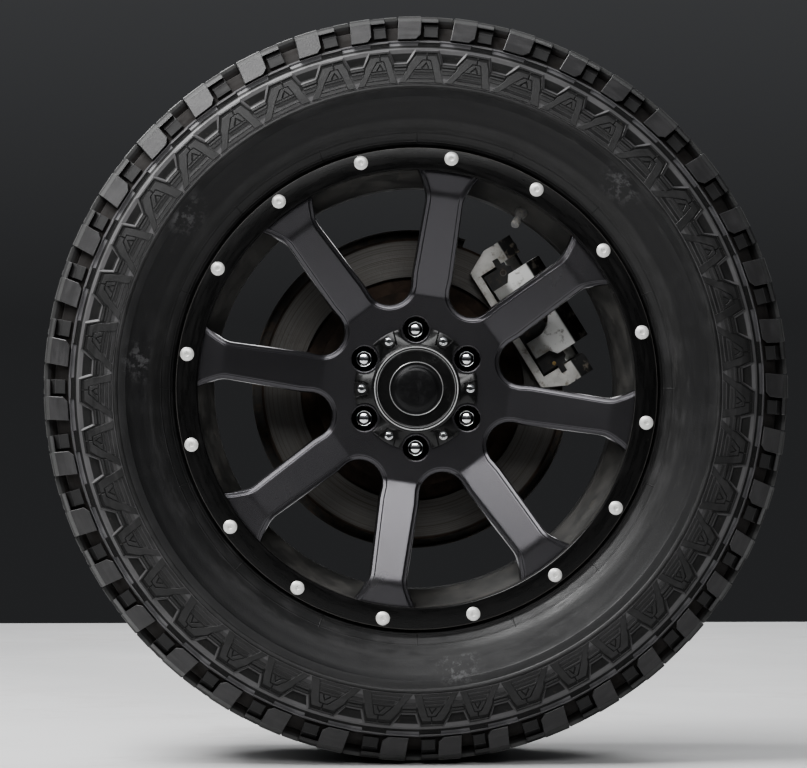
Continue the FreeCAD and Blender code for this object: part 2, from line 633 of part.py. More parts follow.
# Wheel centre, dished from its crest down to the hub, with eight windows and a ledge round each
def wheel_centre():
    front = [(HUB_FLAT_R, LIP_OUT - HUB_FLAT_DEPTH), (FACE_CREST_R, LIP_OUT - FACE_CREST_DEPTH),
             (LIP_INNER_R, LIP_OUT - FACE_EDGE_DEPTH)]
    back = [(LIP_INNER_R, RIM_BACK), (SPOKE_BACK_R, LIP_OUT - SPOKE_BACK_DEPTH),
            (PAD_FACE_R, WHEEL_FACE), (PILOT_R + SEAT_GAP, WHEEL_FACE)]
    body = turned([(PILOT_R + SEAT_GAP, HUB_FACE)] + front + back)
    first = FIRST_SPOKE_ANGLE + TURN / SPOKES / 2
    reach_in, reach_out = WHEEL_FACE - OVERRUN, LIP_OUT + OVERRUN
    body = body.cut(all_round(window(0, reach_in, reach_out), SPOKES, first))
    skin = [(r, out - LEDGE_DEPTH) for r, out in reversed(front)]
    above = [(LIP_INNER_R + LEDGE_WIDTH, skin[0][1]), (LIP_INNER_R + LEDGE_WIDTH, reach_out),
             (HUB_FLAT_R - LEDGE_WIDTH * 2, reach_out), (HUB_FLAT_R - LEDGE_WIDTH * 2, skin[-1][1])]
    band = turned(list(reversed(skin)) + above)
    ledge = window(LEDGE_WIDTH, reach_in, reach_out).common(band)
    body = body.cut(all_round(ledge, SPOKES, first))
    hole = pin(LUG_HOLE_R, LUG_CIRCLE_R, 0, WHEEL_FACE - OVERRUN, NUT_SEAT)
    cone = Part.makeCone(NUT_CONE_R + SEAT_GAP, LUG_HOLE_R, LUG_SEAT_CONE,
                         place(LUG_CIRCLE_R, 0, NUT_SEAT), AXIS)
    well = pin(LUG_WELL_R, LUG_CIRCLE_R, 0, NUT_SEAT, HUB_FACE + OVERRUN)
    return body.cut(all_round(fused([hole, cone, well]), LUGS, 0))


# Each nut has a cone at its foot and a bevelled hexagon
def lug_nuts():
    near = NUT_SEAT - LUG_SEAT_CONE
    far = near + NUT_LENGTH
    cone = Part.makeCone(NUT_CONE_R, LUG_HOLE_R, LUG_SEAT_CONE,
                         place(LUG_CIRCLE_R, 0, NUT_SEAT), AXIS)
    bar = hexagon(NUT_FLATS, LUG_CIRCLE_R, 0, NUT_SEAT, far - NUT_BEVEL)
    rings = []
    for flats, out in ((NUT_FLATS, far - NUT_BEVEL), (NUT_FLATS - NUT_BEVEL * 2, far)):
        ring = [place(LUG_CIRCLE_R, 0, out) + place(flats / math.sqrt(3), k * TURN / 6, 0)
                for k in range(6)]
        rings.append(Part.makePolygon(ring + ring[:1]))
    bevel = Part.makeLoft(rings, True, True)
    bore = pin(STUD_R + SLIDE_FIT, LUG_CIRCLE_R, 0, near - OVERRUN,
               WHEEL_FACE + STUD_LENGTH + OVERRUN)
    return Part.makeCompound(all_round(fused([cone, bar, bevel]).cut(bore), LUGS, 0))


# Flat ring over the rim's outer edge, with its rivets
def lip_ring():
    return collar(LIP_R, LIP_INNER_R, RIM_FLANGE_OUT, LIP_OUT)


def ring_rivets():
    head = Part.makeCone(RIVET_HEAD_R - RIVET_HEAD, RIVET_HEAD_R, RIVET_HEAD,
                         place(RIVET_CIRCLE_R, 0, LIP_OUT + RIVET_HEAD), AXIS)
    return Part.makeCompound(all_round(head, RIVETS, FIRST_RIVET_ANGLE))


# Centre cap: a scalloped plate screwed to the hub's face, and a raised dished drum
def centre_cap():
    plate_out = HUB_FACE + CAP_PLATE_THICKNESS
    drum_out = HUB_FACE + CAP_DRUM_HEIGHT
    body = turned([
        (0, HUB_FACE), (CAP_PLATE_R, HUB_FACE), (CAP_PLATE_R, plate_out),
        (CAP_DRUM_R, plate_out), (CAP_DRUM_R, drum_out - CAP_DRUM_BEVEL),
        (CAP_DRUM_R - CAP_DRUM_BEVEL, drum_out), (CAP_DISH_R, drum_out),
        (CAP_DISH_R - CAP_DISH_DEPTH, drum_out - CAP_DISH_DEPTH),
        (0, drum_out - CAP_DISH_DEPTH)])
    scallop = pin(CAP_SCALLOP_R, LUG_CIRCLE_R, 0, HUB_FACE - OVERRUN, plate_out)
    return body.cut(all_round(scallop, LUGS, 0))


# The cap's badge is a plain disc
def cap_badge():
    foot = HUB_FACE + CAP_DRUM_HEIGHT - CAP_DISH_DEPTH
    return drum(BADGE_R, foot, foot + BADGE_HEIGHT)


# Valve stem, seated on the sloping wall between the drop centre and the outer seat
def valve_stem():
    share = (VALVE_TIP_SHARE + 1) / 2
    foot_s = WELL_OUT + (BEAD_SPAN / 2 - SEAT_WIDTH - WELL_OUT) / 2
    foot = V(0, -(RIM_CENTRE + foot_s), (WELL_R + LIP_INNER_R) / 2)
    tip = V(0, -(RIM_CENTRE + (BEAD_SPAN / 2) * share), VALVE_TIP_R)
    way = tip - foot
    length = way.Length
    neck = length - VALVE_CAP_LENGTH
    base = Part.makeCone(VALVE_FOOT_R, VALVE_NECK_R, neck, foot, way)
    cap = Part.makeCylinder(VALVE_CAP_R, VALVE_CAP_LENGTH, foot + way * (neck / length), way)
    return turned_by(fused([base, cap]), VALVE_ANGLE)


def pitches():
    """The middle angle and the span of every pitch round the tyre."""
    spans = [PITCH_SHARES[size] for size in PITCH_ORDER]
    unit = TURN / sum(spans)
    middle = FIRST_PITCH_ANGLE
    places = []
    for span, following in zip(spans, spans[1:] + spans[:1]):
        places.append((middle, unit * span))
        middle += unit * (span + following) / 2
    return places


def open_grooves(side):
    """Grooves through the tread's edge on one side, which leave a lug between them."""
    start, stop = GROOVE_SHARES
    above = TYRE_R + OVERRUN
    floor = [(GROOVE_END, TYRE_R - TREAD_DEPTH),
             (TREAD_HALF_WIDTH - GROOVE_FOOT, TREAD_EDGE_R - TREAD_DEPTH),
             (SHOULDER_HALF_WIDTH, SHOULDER_R + GROOVE_SHELF),
             (SHOULDER_HALF_WIDTH, above), (GROOVE_END, above)]
    outline = [(RIM_CENTRE + side * s, r) for s, r in floor]
    shift = (1 - side) / 4
    cuts = []
    for middle, span in pitches():
        half = TREAD_EDGE_R * math.radians(span * (stop - start) / 2)
        turn = middle + span * ((start + stop) / 2 + shift)
        cuts.append(turned_by(profile(outline, -half, half), turn))
    return cuts


def slots():
    """Leaning slots through the middle of the tread, one to a pitch."""
    cuts = []
    for middle, span in pitches():
        half = TYRE_R * math.radians(span * SLOT_SHARE / 2)
        lean = TYRE_R * math.radians(span * SLOT_LEAN_SHARE)
        ring = [V(lean * end + half * way, -(RIM_CENTRE + SLOT_END * end), TYRE_R - TREAD_DEPTH)
                for end, way in ((-1, -1), (-1, 1), (1, 1), (1, -1))]
        face = Part.Face(Part.makePolygon(ring + ring[:1]))
        cuts.append(turned_by(face.extrude(V(0, 0, TREAD_DEPTH + OVERRUN)), middle))
    return cuts


# Tyre, from (distance outboard of the rim's centre plane, radius) points of one half
def tyre():
    half = BEAD_SPAN / 2 - SEAT_GAP
    seat = BEAD_SEAT_R + SEAT_GAP
    lip = LIP_R + SKIN_GAP
    wide = TYRE_HALF_WIDTH
    c = CASING_THICKNESS
    toe = half - BEAD_WIDTH
    outside = [
        (toe, seat), (half, seat), (half, lip),
        (half + PROTECTOR_PROUD, lip + PROTECTOR_HEIGHT), (wide, WAIST_R),
        (SHOULDER_HALF_WIDTH, SHOULDER_R), (TREAD_HALF_WIDTH, TREAD_EDGE_R)]
    inside = [(TREAD_HALF_WIDTH - c, TREAD_EDGE_R - TREAD_THICKNESS), (wide - c, WAIST_R)]
    outline = outside + [(0, TYRE_R)] + [(-s, r) for s, r in reversed(outside)]
    outline += [(-s, r) for s, r in reversed(inside)] + inside
    body = turned([(r, RIM_CENTRE + s) for s, r in outline])
    return body.cut(open_grooves(1) + open_grooves(-1) + slots())


PIECES = {
    "axle_tube": axle_tube,
    "wheel_bearing": wheel_bearing,
    "bearing_retainer": bearing_retainer,
    "flange_bolts": flange_bolts,
    "dust_shield": dust_shield,
    "caliper_bracket": caliper_bracket,
    "pad_linings": pad_linings,
    "pad_backings": pad_backings,
    "caliper_body": caliper_body,
    "caliper_piston": caliper_piston,
    "slide_pins": slide_pins,
    "pin_boots": pin_boots,
    "bleeder_screw": bleeder_screw,
    "axle_shaft": axle_shaft,
    "wheel_studs": wheel_studs,
    "brake_disc": brake_disc,
    "wheel_barrel": wheel_barrel,
    "wheel_centre": wheel_centre,
    "lug_nuts": lug_nuts,
    "lip_ring": lip_ring,
    "ring_rivets": ring_rivets,
    "centre_cap": centre_cap,
    "cap_badge": cap_badge,
    "valve_stem": valve_stem,
    "tyre": tyre,
}

for name, make in PIECES.items():
    shape = make()
    shape.exportStep(f"parts/{name}.step")
    box = shape.BoundBox
    print(f"{name}: {len(shape.Solids)} solids, valid {shape.isValid()}, "
          f"x {box.XMin:.1f} {box.XMax:.1f}, y {box.YMin:.1f} {box.YMax:.1f}, "
          f"z {box.ZMin:.1f} {box.ZMax:.1f}, volume {shape.Volume:.0f}")
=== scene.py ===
# %% [markdown]
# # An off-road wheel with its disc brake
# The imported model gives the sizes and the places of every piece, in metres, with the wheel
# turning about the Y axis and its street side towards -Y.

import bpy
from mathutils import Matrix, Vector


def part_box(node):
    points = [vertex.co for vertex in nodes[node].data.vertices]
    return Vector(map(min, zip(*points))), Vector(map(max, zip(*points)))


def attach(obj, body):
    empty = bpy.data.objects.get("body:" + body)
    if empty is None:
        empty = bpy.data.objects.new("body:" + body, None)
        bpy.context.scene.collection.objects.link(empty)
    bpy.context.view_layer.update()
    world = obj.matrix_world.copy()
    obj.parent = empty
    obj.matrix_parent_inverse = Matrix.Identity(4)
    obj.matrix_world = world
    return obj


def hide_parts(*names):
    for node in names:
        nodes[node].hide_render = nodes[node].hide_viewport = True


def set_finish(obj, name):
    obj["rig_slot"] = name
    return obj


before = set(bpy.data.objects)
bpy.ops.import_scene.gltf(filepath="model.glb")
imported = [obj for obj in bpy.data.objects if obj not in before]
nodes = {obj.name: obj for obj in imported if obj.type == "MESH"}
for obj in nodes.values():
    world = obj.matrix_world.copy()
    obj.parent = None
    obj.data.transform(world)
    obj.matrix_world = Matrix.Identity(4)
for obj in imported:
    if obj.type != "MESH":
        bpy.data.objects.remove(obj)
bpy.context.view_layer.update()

import math

import bpy
from mathutils import Matrix, Vector

# %% [markdown]
# Every piece starts from a primitive, and most of them end as copies set round the axle.
# Two things are needed again and again: a place given by a radius, a clock angle and a
# distance outboard, and a way to leave only one object selected before an operator runs.
# Sizes are written in millimetres, and turned into Blender's metres where they are used.

# %% Places round the axle
MM = 0.001


def clock(radius, angle):
    """The (x, z) of a point at a radius and a clockwise angle from the top."""
    a = math.radians(angle)
    return radius * math.sin(a), radius * math.cos(a)


def place(radius, angle, out):
    """The same point in metres, a distance outboard."""
    x, z = clock(radius, angle)
    return Vector((x, -out, z)) * MM


def alone(piece):
    """Leaves one object selected and active."""
    bpy.ops.object.select_all(action="DESELECT")
    piece.select_set(True)
    bpy.context.view_layer.objects.active = piece


def into_edit(piece):
    """Opens a piece in edit mode with all of it selected."""
    alone(piece)
    bpy.ops.object.mode_set(mode="EDIT")
    bpy.ops.mesh.select_all(action="SELECT")


def out_of_edit():
    """Goes back to object mode."""
    bpy.ops.object.mode_set(mode="OBJECT")


def named(name):
    """Names the active object and its mesh."""
    piece = bpy.context.object
    piece.name = name
    piece.data.name = name
    return piece


def copied(piece):
    """A copy of a piece with a mesh of its own."""
    copy = piece.copy()
    copy.data = piece.data.copy()
    bpy.context.collection.objects.link(copy)
    return copy


def joined(pieces, name):
    """Makes several objects one."""
    alone(pieces[0])
    for piece in pieces:
        piece.select_set(True)
    if len(pieces) > 1:
        bpy.ops.object.join()
    return named(name)


def all_round(piece, count, first, name, radius=0):
    """A piece moved out to a radius and copied evenly round the axle, as one piece."""
    piece.data.transform(Matrix.Translation(place(radius, 0, 0)))
    copies = [copied(piece) for k in range(count)]
    for k, copy in enumerate(copies):
        copy.data.transform(Matrix.Rotation(math.radians(first + k * 360 / count), 4, "Y"))
    bpy.data.objects.remove(piece)
    return joined(copies, name)


def tidy(piece, angle=30):
    """Merges doubles, turns the faces outwards and smooths all but the sharp edges."""
    into_edit(piece)
    bpy.ops.mesh.remove_doubles(threshold=0.01 * MM)
    bpy.ops.mesh.normals_make_consistent(inside=False)
    out_of_edit()
    bpy.ops.object.shade_smooth_by_angle(angle=math.radians(angle))
    return piece


# %% [markdown]
# A rim, a ring and a tyre are all lathe work: one outline swept round the axle. The outline
# starts as a circle primitive with as many corners as it has points, each corner is moved to
# its place, and the spin operator sweeps it. A loop that closes on itself gives a solid ring.

# %% Turning on the lathe
def ring_of_points(points, fill="NOTHING"):
    """A closed loop of edges through points, made from a circle primitive."""
    bpy.ops.object.select_all(action="DESELECT")
    bpy.ops.mesh.primitive_circle_add(vertices=len(points), radius=MM, fill_type=fill)
    loop = bpy.context.object
    for corner, point in zip(loop.data.vertices, points):
        corner.co = point
    return loop


def lathe(name, outline, steps=180, angle=30):
    """Sweeps an outline of (radius, outboard) points in mm round the axle."""
    into_edit(ring_of_points([place(r, 0, out) for r, out in outline]))
    bpy.ops.mesh.spin(steps=steps, angle=math.tau, center=(0, 0, 0), axis=(0, 1, 0))
    out_of_edit()
    piece = tidy(named(name), angle)
    print(name, len(piece.data.polygons), "faces")
    return piece

# %% [markdown]
# ## Tyre
# An off-road tyre is a smooth carcass with moulded blocks on it. The carcass is lathe work.
# Its outline runs from the bead, over the rim protector's fine rings and the widest place of
# the sidewall, down into the pockets behind the shoulder, and over the floor of the grooves.
# Distances along the axle are given from the rim's centre plane, which is 247.5 mm out, so
# that one half of the outline can be mirrored for the other.

# %% Carcass of the tyre
RIM_CENTRE = 247.5
TYRE_R = 423.0
TREAD_EDGE_R = 419.0
TREAD_HALF_WIDTH = 131.0

side_wall = [
    (114, 272), (119, 275.6), (120.4, 278.6), (122, 278), (124.4, 281.6),
    (126, 281), (128.6, 284.8), (130.2, 284.2), (133, 288.4), (134.6, 288),
    (137.6, 291.6), (140.4, 294.2), (143.2, 299.5), (145.6, 304.8), (145.8, 306.2),
    (148.6, 312), (151.6, 320), (153.6, 325.6), (154.8, 327), (155.7, 331),
    (156.2, 335.6), (157.2, 336.6), (157.7, 338.4), (157.2, 340.2), (155.4, 341.4),
    (154.7, 348), (153.9, 356), (152.9, 363.4), (149.2, 366), (147.4, 367.4),
    (147, 380), (140.6, 388.4), (141.6, 389.2), (141.5, 390.2), (137.4, 391.8),
    (132.6, 400), (125, 405.8), (112, 407.6), (60, 409.6), (0, 410.4)]
cavity = [(0, 400), (116, 400), (132, 388), (142, 347), (118, 300), (92.4, 256)]
bead = [(92.4, 254.3), (114, 254.3)]
street_half = bead + side_wall
outline = street_half + [(-s, r) for s, r in reversed(street_half[:-1])]
outline += [(-s, r) for s, r in reversed(cavity[1:])] + cavity
carcass = lathe("carcass", [(r, RIM_CENTRE + s) for s, r in outline], steps=160, angle=24)

# %% [markdown]
# The moulded shapes are laid out flat, one pitch at a time: x runs clockwise round the tyre,
# y is the radius, and z is the height above the sidewall. A flat shape is a circle primitive
# with its corners moved to the outline and extruded up. Its top is inset and raised, which
# leaves a chamfer all round it. A top that leans drops towards the tread.

# %% Flat blocks
PITCH_WIDTH = 60.0


def block(outline, low, high, edge, lean=0):
    """A flat shape with a chamfered top, from an outline of (share of a pitch, mm)."""
    piece = ring_of_points([Vector((share * PITCH_WIDTH, y, low)) * MM
                            for share, y in outline], fill="NGON")
    into_edit(piece)
    bpy.ops.mesh.vert_connect_concave()
    bpy.ops.mesh.extrude_region_move(
        TRANSFORM_OT_translate={"value": (0, 0, (high - edge - low) * MM)})
    bpy.ops.mesh.select_all(action="SELECT")
    bpy.ops.mesh.normals_make_consistent(inside=False)
    out_of_edit()
    for item in (*piece.data.edges, *piece.data.vertices):
        item.select = False
    for face in piece.data.polygons:
        face.select = face.normal.z > 0.9
    bpy.ops.object.mode_set(mode="EDIT")
    bpy.ops.mesh.select_mode(type="FACE")
    bpy.ops.mesh.inset(thickness=edge * MM, depth=edge * MM)
    out_of_edit()
    foot = min(y for share, y in outline)
    for corner in piece.data.vertices:
        if corner.co.z > (low + 0.1) * MM:
            corner.co.z += lean * (corner.co.y - foot * MM)
    return piece


def blocks(name, shapes):
    """Several flat shapes as one piece."""
    return joined([block(*shape) for shape in shapes], name)


# %% [markdown]
# The sidewall of each pitch has a raised head with a wide chamfer towards the tread. On it
# lies a braced trapezoid of flat bars, with thin gaps between them. Past the head comes a
# ribbed recess, and between two heads the wall drops into a pocket. The shoulder has one
# large lug and one small sunk block per pitch, joined by a brow along the tread's edge, with
# an open groove after them.

# %% Shapes of one pitch
def four(y0, left0, right0, y1, left1, right1):
    """A four-sided outline, from its two sides' places at its foot and at its top."""
    return [(left0, y0), (right0, y0), (right1, y1), (left1, y1)]


head_shapes = [
    (four(361, -0.47, 0.345, 381, -0.25, 0.235), -8, -1, 2.6),
    (four(380, -0.205, 0.25, 389, -0.17, 0.225), -14, -4.4, 0.5),
    (four(387.9, -0.17, 0.225, 389.8, -0.165, 0.232), -14, -3.2, 0.5)]
for r in (382.2, 384.1, 386):
    head_shapes.append((four(r, -0.18, 0.232, r + 0.9, -0.178, 0.23), -8, -3.8, 0.25))
bar_shapes = [
    ([(-0.425, 363.4), (-0.392, 363), (-0.232, 376.4), (0.192, 376.4), (0.268, 363),
      (0.298, 363), (0.21, 378.1), (-0.222, 378.1)], -4, 0.2, 0.4),
    ([(-0.625, 342.4), (-0.47, 342.4), (-0.273, 356.4), (-0.095, 368), (-0.02, 368),
      (-0.02, 372.8), (-0.222, 372.8), (-0.375, 362.4), (-0.405, 357.6)], -4, 0, 0.3),
    ([(0.175, 342.4), (0.345, 342.4), (0.262, 357), (0.25, 362.4), (0.182, 372.8),
      (0.004, 372.8), (0.004, 368), (0.066, 368), (0.122, 356.4)], -4, 0, 0.3),
    (four(373.6, -0.018, 0.002, 376.6, -0.018, 0.002), -4, -0.2, 0.2),
    ([(-0.25, 357.2), (-0.118, 357.2), (-0.118, 359), (-0.022, 365), (0.03, 359.6),
      (0.036, 357.2), (0.108, 357.2), (0.058, 367.2), (-0.08, 367.2)], -4, 0, 0.3),
    ([(-0.095, 357.3), (0.015, 357.3), (0.01, 359.2), (-0.023, 362.8), (-0.085, 359)],
     -4, -0.2, 0.25),
    (four(354.4, -0.285, 0.122, 356.3, -0.256, 0.112), -4, 0, 0.25),
    (four(351, -0.29, 0.128, 353.3, -0.265, 0.124), -4, -0.7, 0.2),
    (four(346.8, -0.395, 0.155, 349.8, -0.35, 0.145), -4, 0.1, 0.2, -0.3),
    (four(342.6, -0.445, 0.165, 345.6, -0.405, 0.16), -4, -0.3, 0.2),
    (four(360.2, 0.302, 0.578, 362.4, 0.298, 0.59), -4, 0, 0.25),
    (four(356.4, 0.302, 0.565, 358.7, 0.302, 0.572), -4, 0, 0.25),
    (four(351.8, 0.315, 0.505, 354.6, 0.31, 0.54), -4, -0.4, 0.2)]
lug_shapes = [
    ([(-0.575, 391.8), (-0.225, 391.8), (-0.13, 397), (-0.11, 413.4), (-0.53, 413.4)],
     -18, 0, 0.6),
    (four(412.6, -0.53, -0.11, 418.6, -0.525, -0.112), -18, 0, 0.5, -0.9),
    (four(394.4, -0.078, 0.19, 405.6, -0.066, 0.185), -18, -4.8, 0.5),
    (four(405, -0.074, 0.192, 412.2, -0.06, 0.184), -18, -4.2, 0.4, -0.6),
    (four(411.6, -0.125, 0.184, 418.6, -0.125, 0.184), -18, -0.4, 0.5, -0.9),
    (four(396.8, -0.115, -0.07, 417, -0.115, -0.055), -18, -9.6, 0.4)]
near_tread = [
    (four(66, -0.525, -0.105, 126.6, -0.522, -0.115), 0),
    ([(0.142, 66), (0.455, 66), (0.455, 111.6), (0.174, 111.6), (0.174, 100.5)], 0),
    (four(102.4, -0.07, 0.184, 122.8, -0.06, 0.184), -0.6),
    (four(66, -0.078, -0.008, 99.8, -0.078, 0.026), 0)]
far_tread = [
    ([(-0.49, 66), (-0.105, 66), (-0.115, 126.6), (-0.522, 126.6), (-0.522, 102)], 0),
    ([(0.142, 66), (0.36, 66), (0.328, 100), (0.328, 111.6), (0.16, 111.6)], 0),
    (four(102.4, 0.345, 0.455, 111.6, 0.345, 0.455), 0),
    (four(102.4, -0.07, 0.184, 122.8, -0.06, 0.184), -0.6),
    (four(66, -0.078, 0.115, 99.8, -0.078, 0.13), 0)]
middle_tread = [
    (four(6, 0.078, 0.49, 63.4, 0.134, 0.51), 0),
    (four(-63.4, 0.008, 0.45, 3.2, 0.074, 0.488), 0),
    (four(-63.4, 0.492, 0.868, -9, 0.522, 0.922), 0),
    (four(-6.2, 0.524, 0.925, 63.4, 0.552, 0.994), 0)]

# %% [markdown]
# A flat block is bent onto the tyre by moving its corners. On the sidewall the radius stays,
# the place along the axle is read from the outline, and the height pushes outboard. On the
# tread the y of the flat shape is the distance from the centre plane, and the height pushes
# away from the axle. Real tyres use pitches of three lengths in a mixed order, so that the
# tread doesn't hum, and this one has forty. The far side is half a pitch further round.

# %% Bend the blocks onto the tyre
PITCH_ORDER = "LLLLMSMMLSMLLMLMMMMSSMMMLSMLLMMLMMLMMLMM"
PITCH_SHARE = {"S": 0.86, "M": 1.0, "L": 1.12}
FIRST_PITCH_ANGLE = -53.5
spans = [PITCH_SHARE[size] for size in PITCH_ORDER]
spans = [span * 360 / sum(spans) for span in spans]
starts = [FIRST_PITCH_ANGLE - spans[0] / 2 + sum(spans[:k]) for k in range(len(spans))]

envelope = [(157.7, 338), (155.9, 348), (155.1, 356), (153.5, 365), (150.7, 376),
            (147.7, 386.2), (146.4, 392), (142.6, 400), (138, 409),
            (TREAD_HALF_WIDTH, TREAD_EDGE_R)]


def wall_at(r):
    """Distance from the centre plane of the tyre's outer face at a radius."""
    for (s0, r0), (s1, r1) in zip(envelope, envelope[1:]):
        if r <= r1:
            return s0 + (s1 - s0) * (r - r0) / (r1 - r0)
    return envelope[-1][0]


def crown_at(s):
    """Radius of the tread at a distance from the centre plane."""
    return TYRE_R - (TYRE_R - TREAD_EDGE_R) * (abs(s) / TREAD_HALF_WIDTH) ** 2


def angle_of(pitch, share):
    """The angle of a share of a pitch; past its ends it runs on in the next pitches."""
    beyond, part = divmod(share + 0.5, 1)
    following = (pitch + int(beyond)) % len(spans)
    return starts[following] + part * spans[following]


def bent(piece, pitch, shift, side, on_tread):
    """A copy of a pitch's blocks bent to its place; side is 1 for the street side."""
    copy = copied(piece)
    height = copy.data.attributes.new("height", "FLOAT", "POINT")
    for corner in copy.data.vertices:
        x, y, z = corner.co / MM
        height.data[corner.index].value = z
        angle = angle_of(pitch, x / PITCH_WIDTH + shift)
        if on_tread:
            corner.co = place(crown_at(y) + z, angle, RIM_CENTRE + side * y)
        else:
            corner.co = place(y, angle, RIM_CENTRE + side * (wall_at(y) + z))
    return copy


def tread_blocks(name, tops):
    """The blocks of one band of the tread, from their outlines and heights."""
    return blocks(name, [(outline, -12, height, 0.8) for outline, height in tops])


side_flat = blocks("side_flat", head_shapes + bar_shapes + lug_shapes)
patterns = [(side_flat, 0, 1, False), (side_flat, 0.5, -1, False),
            (tread_blocks("near_tread", near_tread), 0, 1, True),
            (tread_blocks("far_tread", far_tread), 0.5, -1, True),
            (tread_blocks("middle_tread", middle_tread), 0, 1, True)]
pitch_pieces = [bent(flat, pitch, shift, side, on_tread)
                for flat, shift, side, on_tread in patterns for pitch in range(len(spans))]
for flat in {pattern[0] for pattern in patterns}:
    bpy.data.objects.remove(flat)
relief = tidy(joined(pitch_pieces, "relief"), angle=20)

# %% Join the blocks and the carcass
SHOULDER_FOOT_R = 340.0
height = carcass.data.attributes.new("height", "FLOAT", "POINT")
for corner in carcass.data.vertices:
    x, y, z = corner.co / MM
    r = math.hypot(x, z)
    if r > SHOULDER_FOOT_R:
        height.data[corner.index].value = abs(y + RIM_CENTRE) - wall_at(r)
tyre = joined([carcass, relief], "tyre_dressed")
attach(tyre, "wheel")
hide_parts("tyre")
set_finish(tyre, "tyre_rubber")
print("tyre:", len(tyre.data.polygons), "faces")

# %% [markdown]
# ## Wheel centre
# The cast centre is dished: its face climbs from a flat hub to a crest near the rim. Eight
# windows are cut through it, and each has a narrow sunk ledge round it, which shows as two
# fine lines of light. One window with half a spoke on each side is one eighth of the wheel.
# A grid primitive has just the right faces for it: its columns follow the window's edge from
# one mouth round the bottom to the other, and its rows run from the back, up the window's
# wall, over the ledge and across the face to the middle of the spokes.

# %% Edge of one window
SPOKES = 8
FIRST_WINDOW_ANGLE = 31.0
RIM_INNER_R = 247.0
HUB_RING_R = 85.0
HUB_FACE = 340.0  # the hub's two faces, as distances outboard
HUB_BACK = 265.5
spoke_line = Vector(clock(1, 180 / SPOKES))
beside_spoke = Vector((-spoke_line.y, spoke_line.x))


def spoke_edge(along, half_width):
    """A point beside the next spoke, along it and off its middle line."""
    return spoke_line * along + beside_spoke * half_width


def corner(before, at, after, size, steps):
    """Points of a rounded corner, as a quadratic curve between two tangent points."""
    start = at + (before - at).normalized() * size
    end = at + (after - at).normalized() * size
    return [start.lerp(at, t).lerp(at.lerp(end, t), t) for t in
            [k / steps for k in range(steps + 1)]]


root = spoke_edge(119, 23.3)
kink = spoke_edge(219, 21.1)
flare = spoke_edge(RIM_INNER_R, 35.3)
BOTTOM_CENTRE = Vector((0, 124.8))
BOTTOM_RADIUS = 25.8
right_edge = [BOTTOM_CENTRE - Vector(clock(BOTTOM_RADIUS, -a))
              for a in (0, 6, 12, 18, 24, 30, 36, 41.5, 45.2, 49.4, 53.6, 66.2)]
right_edge += [root.lerp(kink, t) for t in (0.1, 0.25, 0.4, 0.55, 0.7, 0.82, 0.9)]
right_edge += corner(root, kink, flare, 7, 4)
right_edge += [kink.lerp(flare, 0.6), flare * (RIM_INNER_R / flare.length)]
left_edge = [Vector((-p.x, p.y)) for p in reversed(right_edge[1:])]
window_edge = left_edge + right_edge
print("window edge:", len(window_edge), "points")

# %% [markdown]
# Each point of the window's edge has a partner in the middle of the spoke, or on the ring
# round the hub. Rows between the two are measured from the edge inwards, so that the wall,
# the ledge and its small roundings keep their width all the way round. Each spoke is one flat
# slope, so its depth is read from how far a point lies along the spoke.

# %% Partners and depths
half_partners = [Vector(clock(HUB_RING_R, 180 / SPOKES * k / 6)) for k in range(7)]


def along_spoke(point):
    """How far out a point lies, measured along the nearer spoke."""
    return abs(point.x) * spoke_line.x + point.y * spoke_line.y


half_partners += [spoke_line * along_spoke(point)
                  for point in right_edge[len(half_partners):-1]]
half_partners.append(spoke_line * RIM_INNER_R)
partners = [Vector((-p.x, p.y)) for p in reversed(half_partners[1:])] + half_partners


def depth_at(place_along, steps):
    """A depth read from a list of (distance from the axle, out) places."""
    for (r0, out0), (r1, out1) in zip(steps, steps[1:]):
        if place_along <= r1:
            return out0 + (out1 - out0) * (place_along - r0) / (r1 - r0)
    return steps[-1][1]


FRONT = [(0, HUB_FACE), (105.5, HUB_FACE), (107.1, 340.2), (218.8, 364.6), (222.1, 364.9),
         (248, 364)]
BACK = [(0, HUB_BACK), (88, HUB_BACK), (122, 303), (248, 342)]
wall_rows = [(0, -9), (0.9, -4.3), (1.2, -3.6), (1.5, -3.32), (1.9, -3.25), (4.4, -3.2),
             (4.8, -3.05), (5, -2.6), (5.2, -0.8), (5.4, -0.35), (5.75, -0.08), (6.4, 0)]
face_shares = [0.08, 0.18, 0.30, 0.43, 0.57, 0.71, 0.86, 1]

# %% One eighth of the wheel centre
BACK_ROUNDING = 1.2


def grid_of_points(name, columns):
    """A grid primitive with its corners moved, from columns of points in metres."""
    bpy.ops.object.select_all(action="DESELECT")
    bpy.ops.mesh.primitive_grid_add(x_subdivisions=len(columns) - 1,
                                    y_subdivisions=len(columns[0]) - 1, size=MM)
    piece = named(name)
    print(name, len(piece.data.vertices), "corners")
    for i, column in enumerate(columns):
        for j, point in enumerate(column):
            piece.data.vertices[j * len(columns) + i].co = point
    return piece


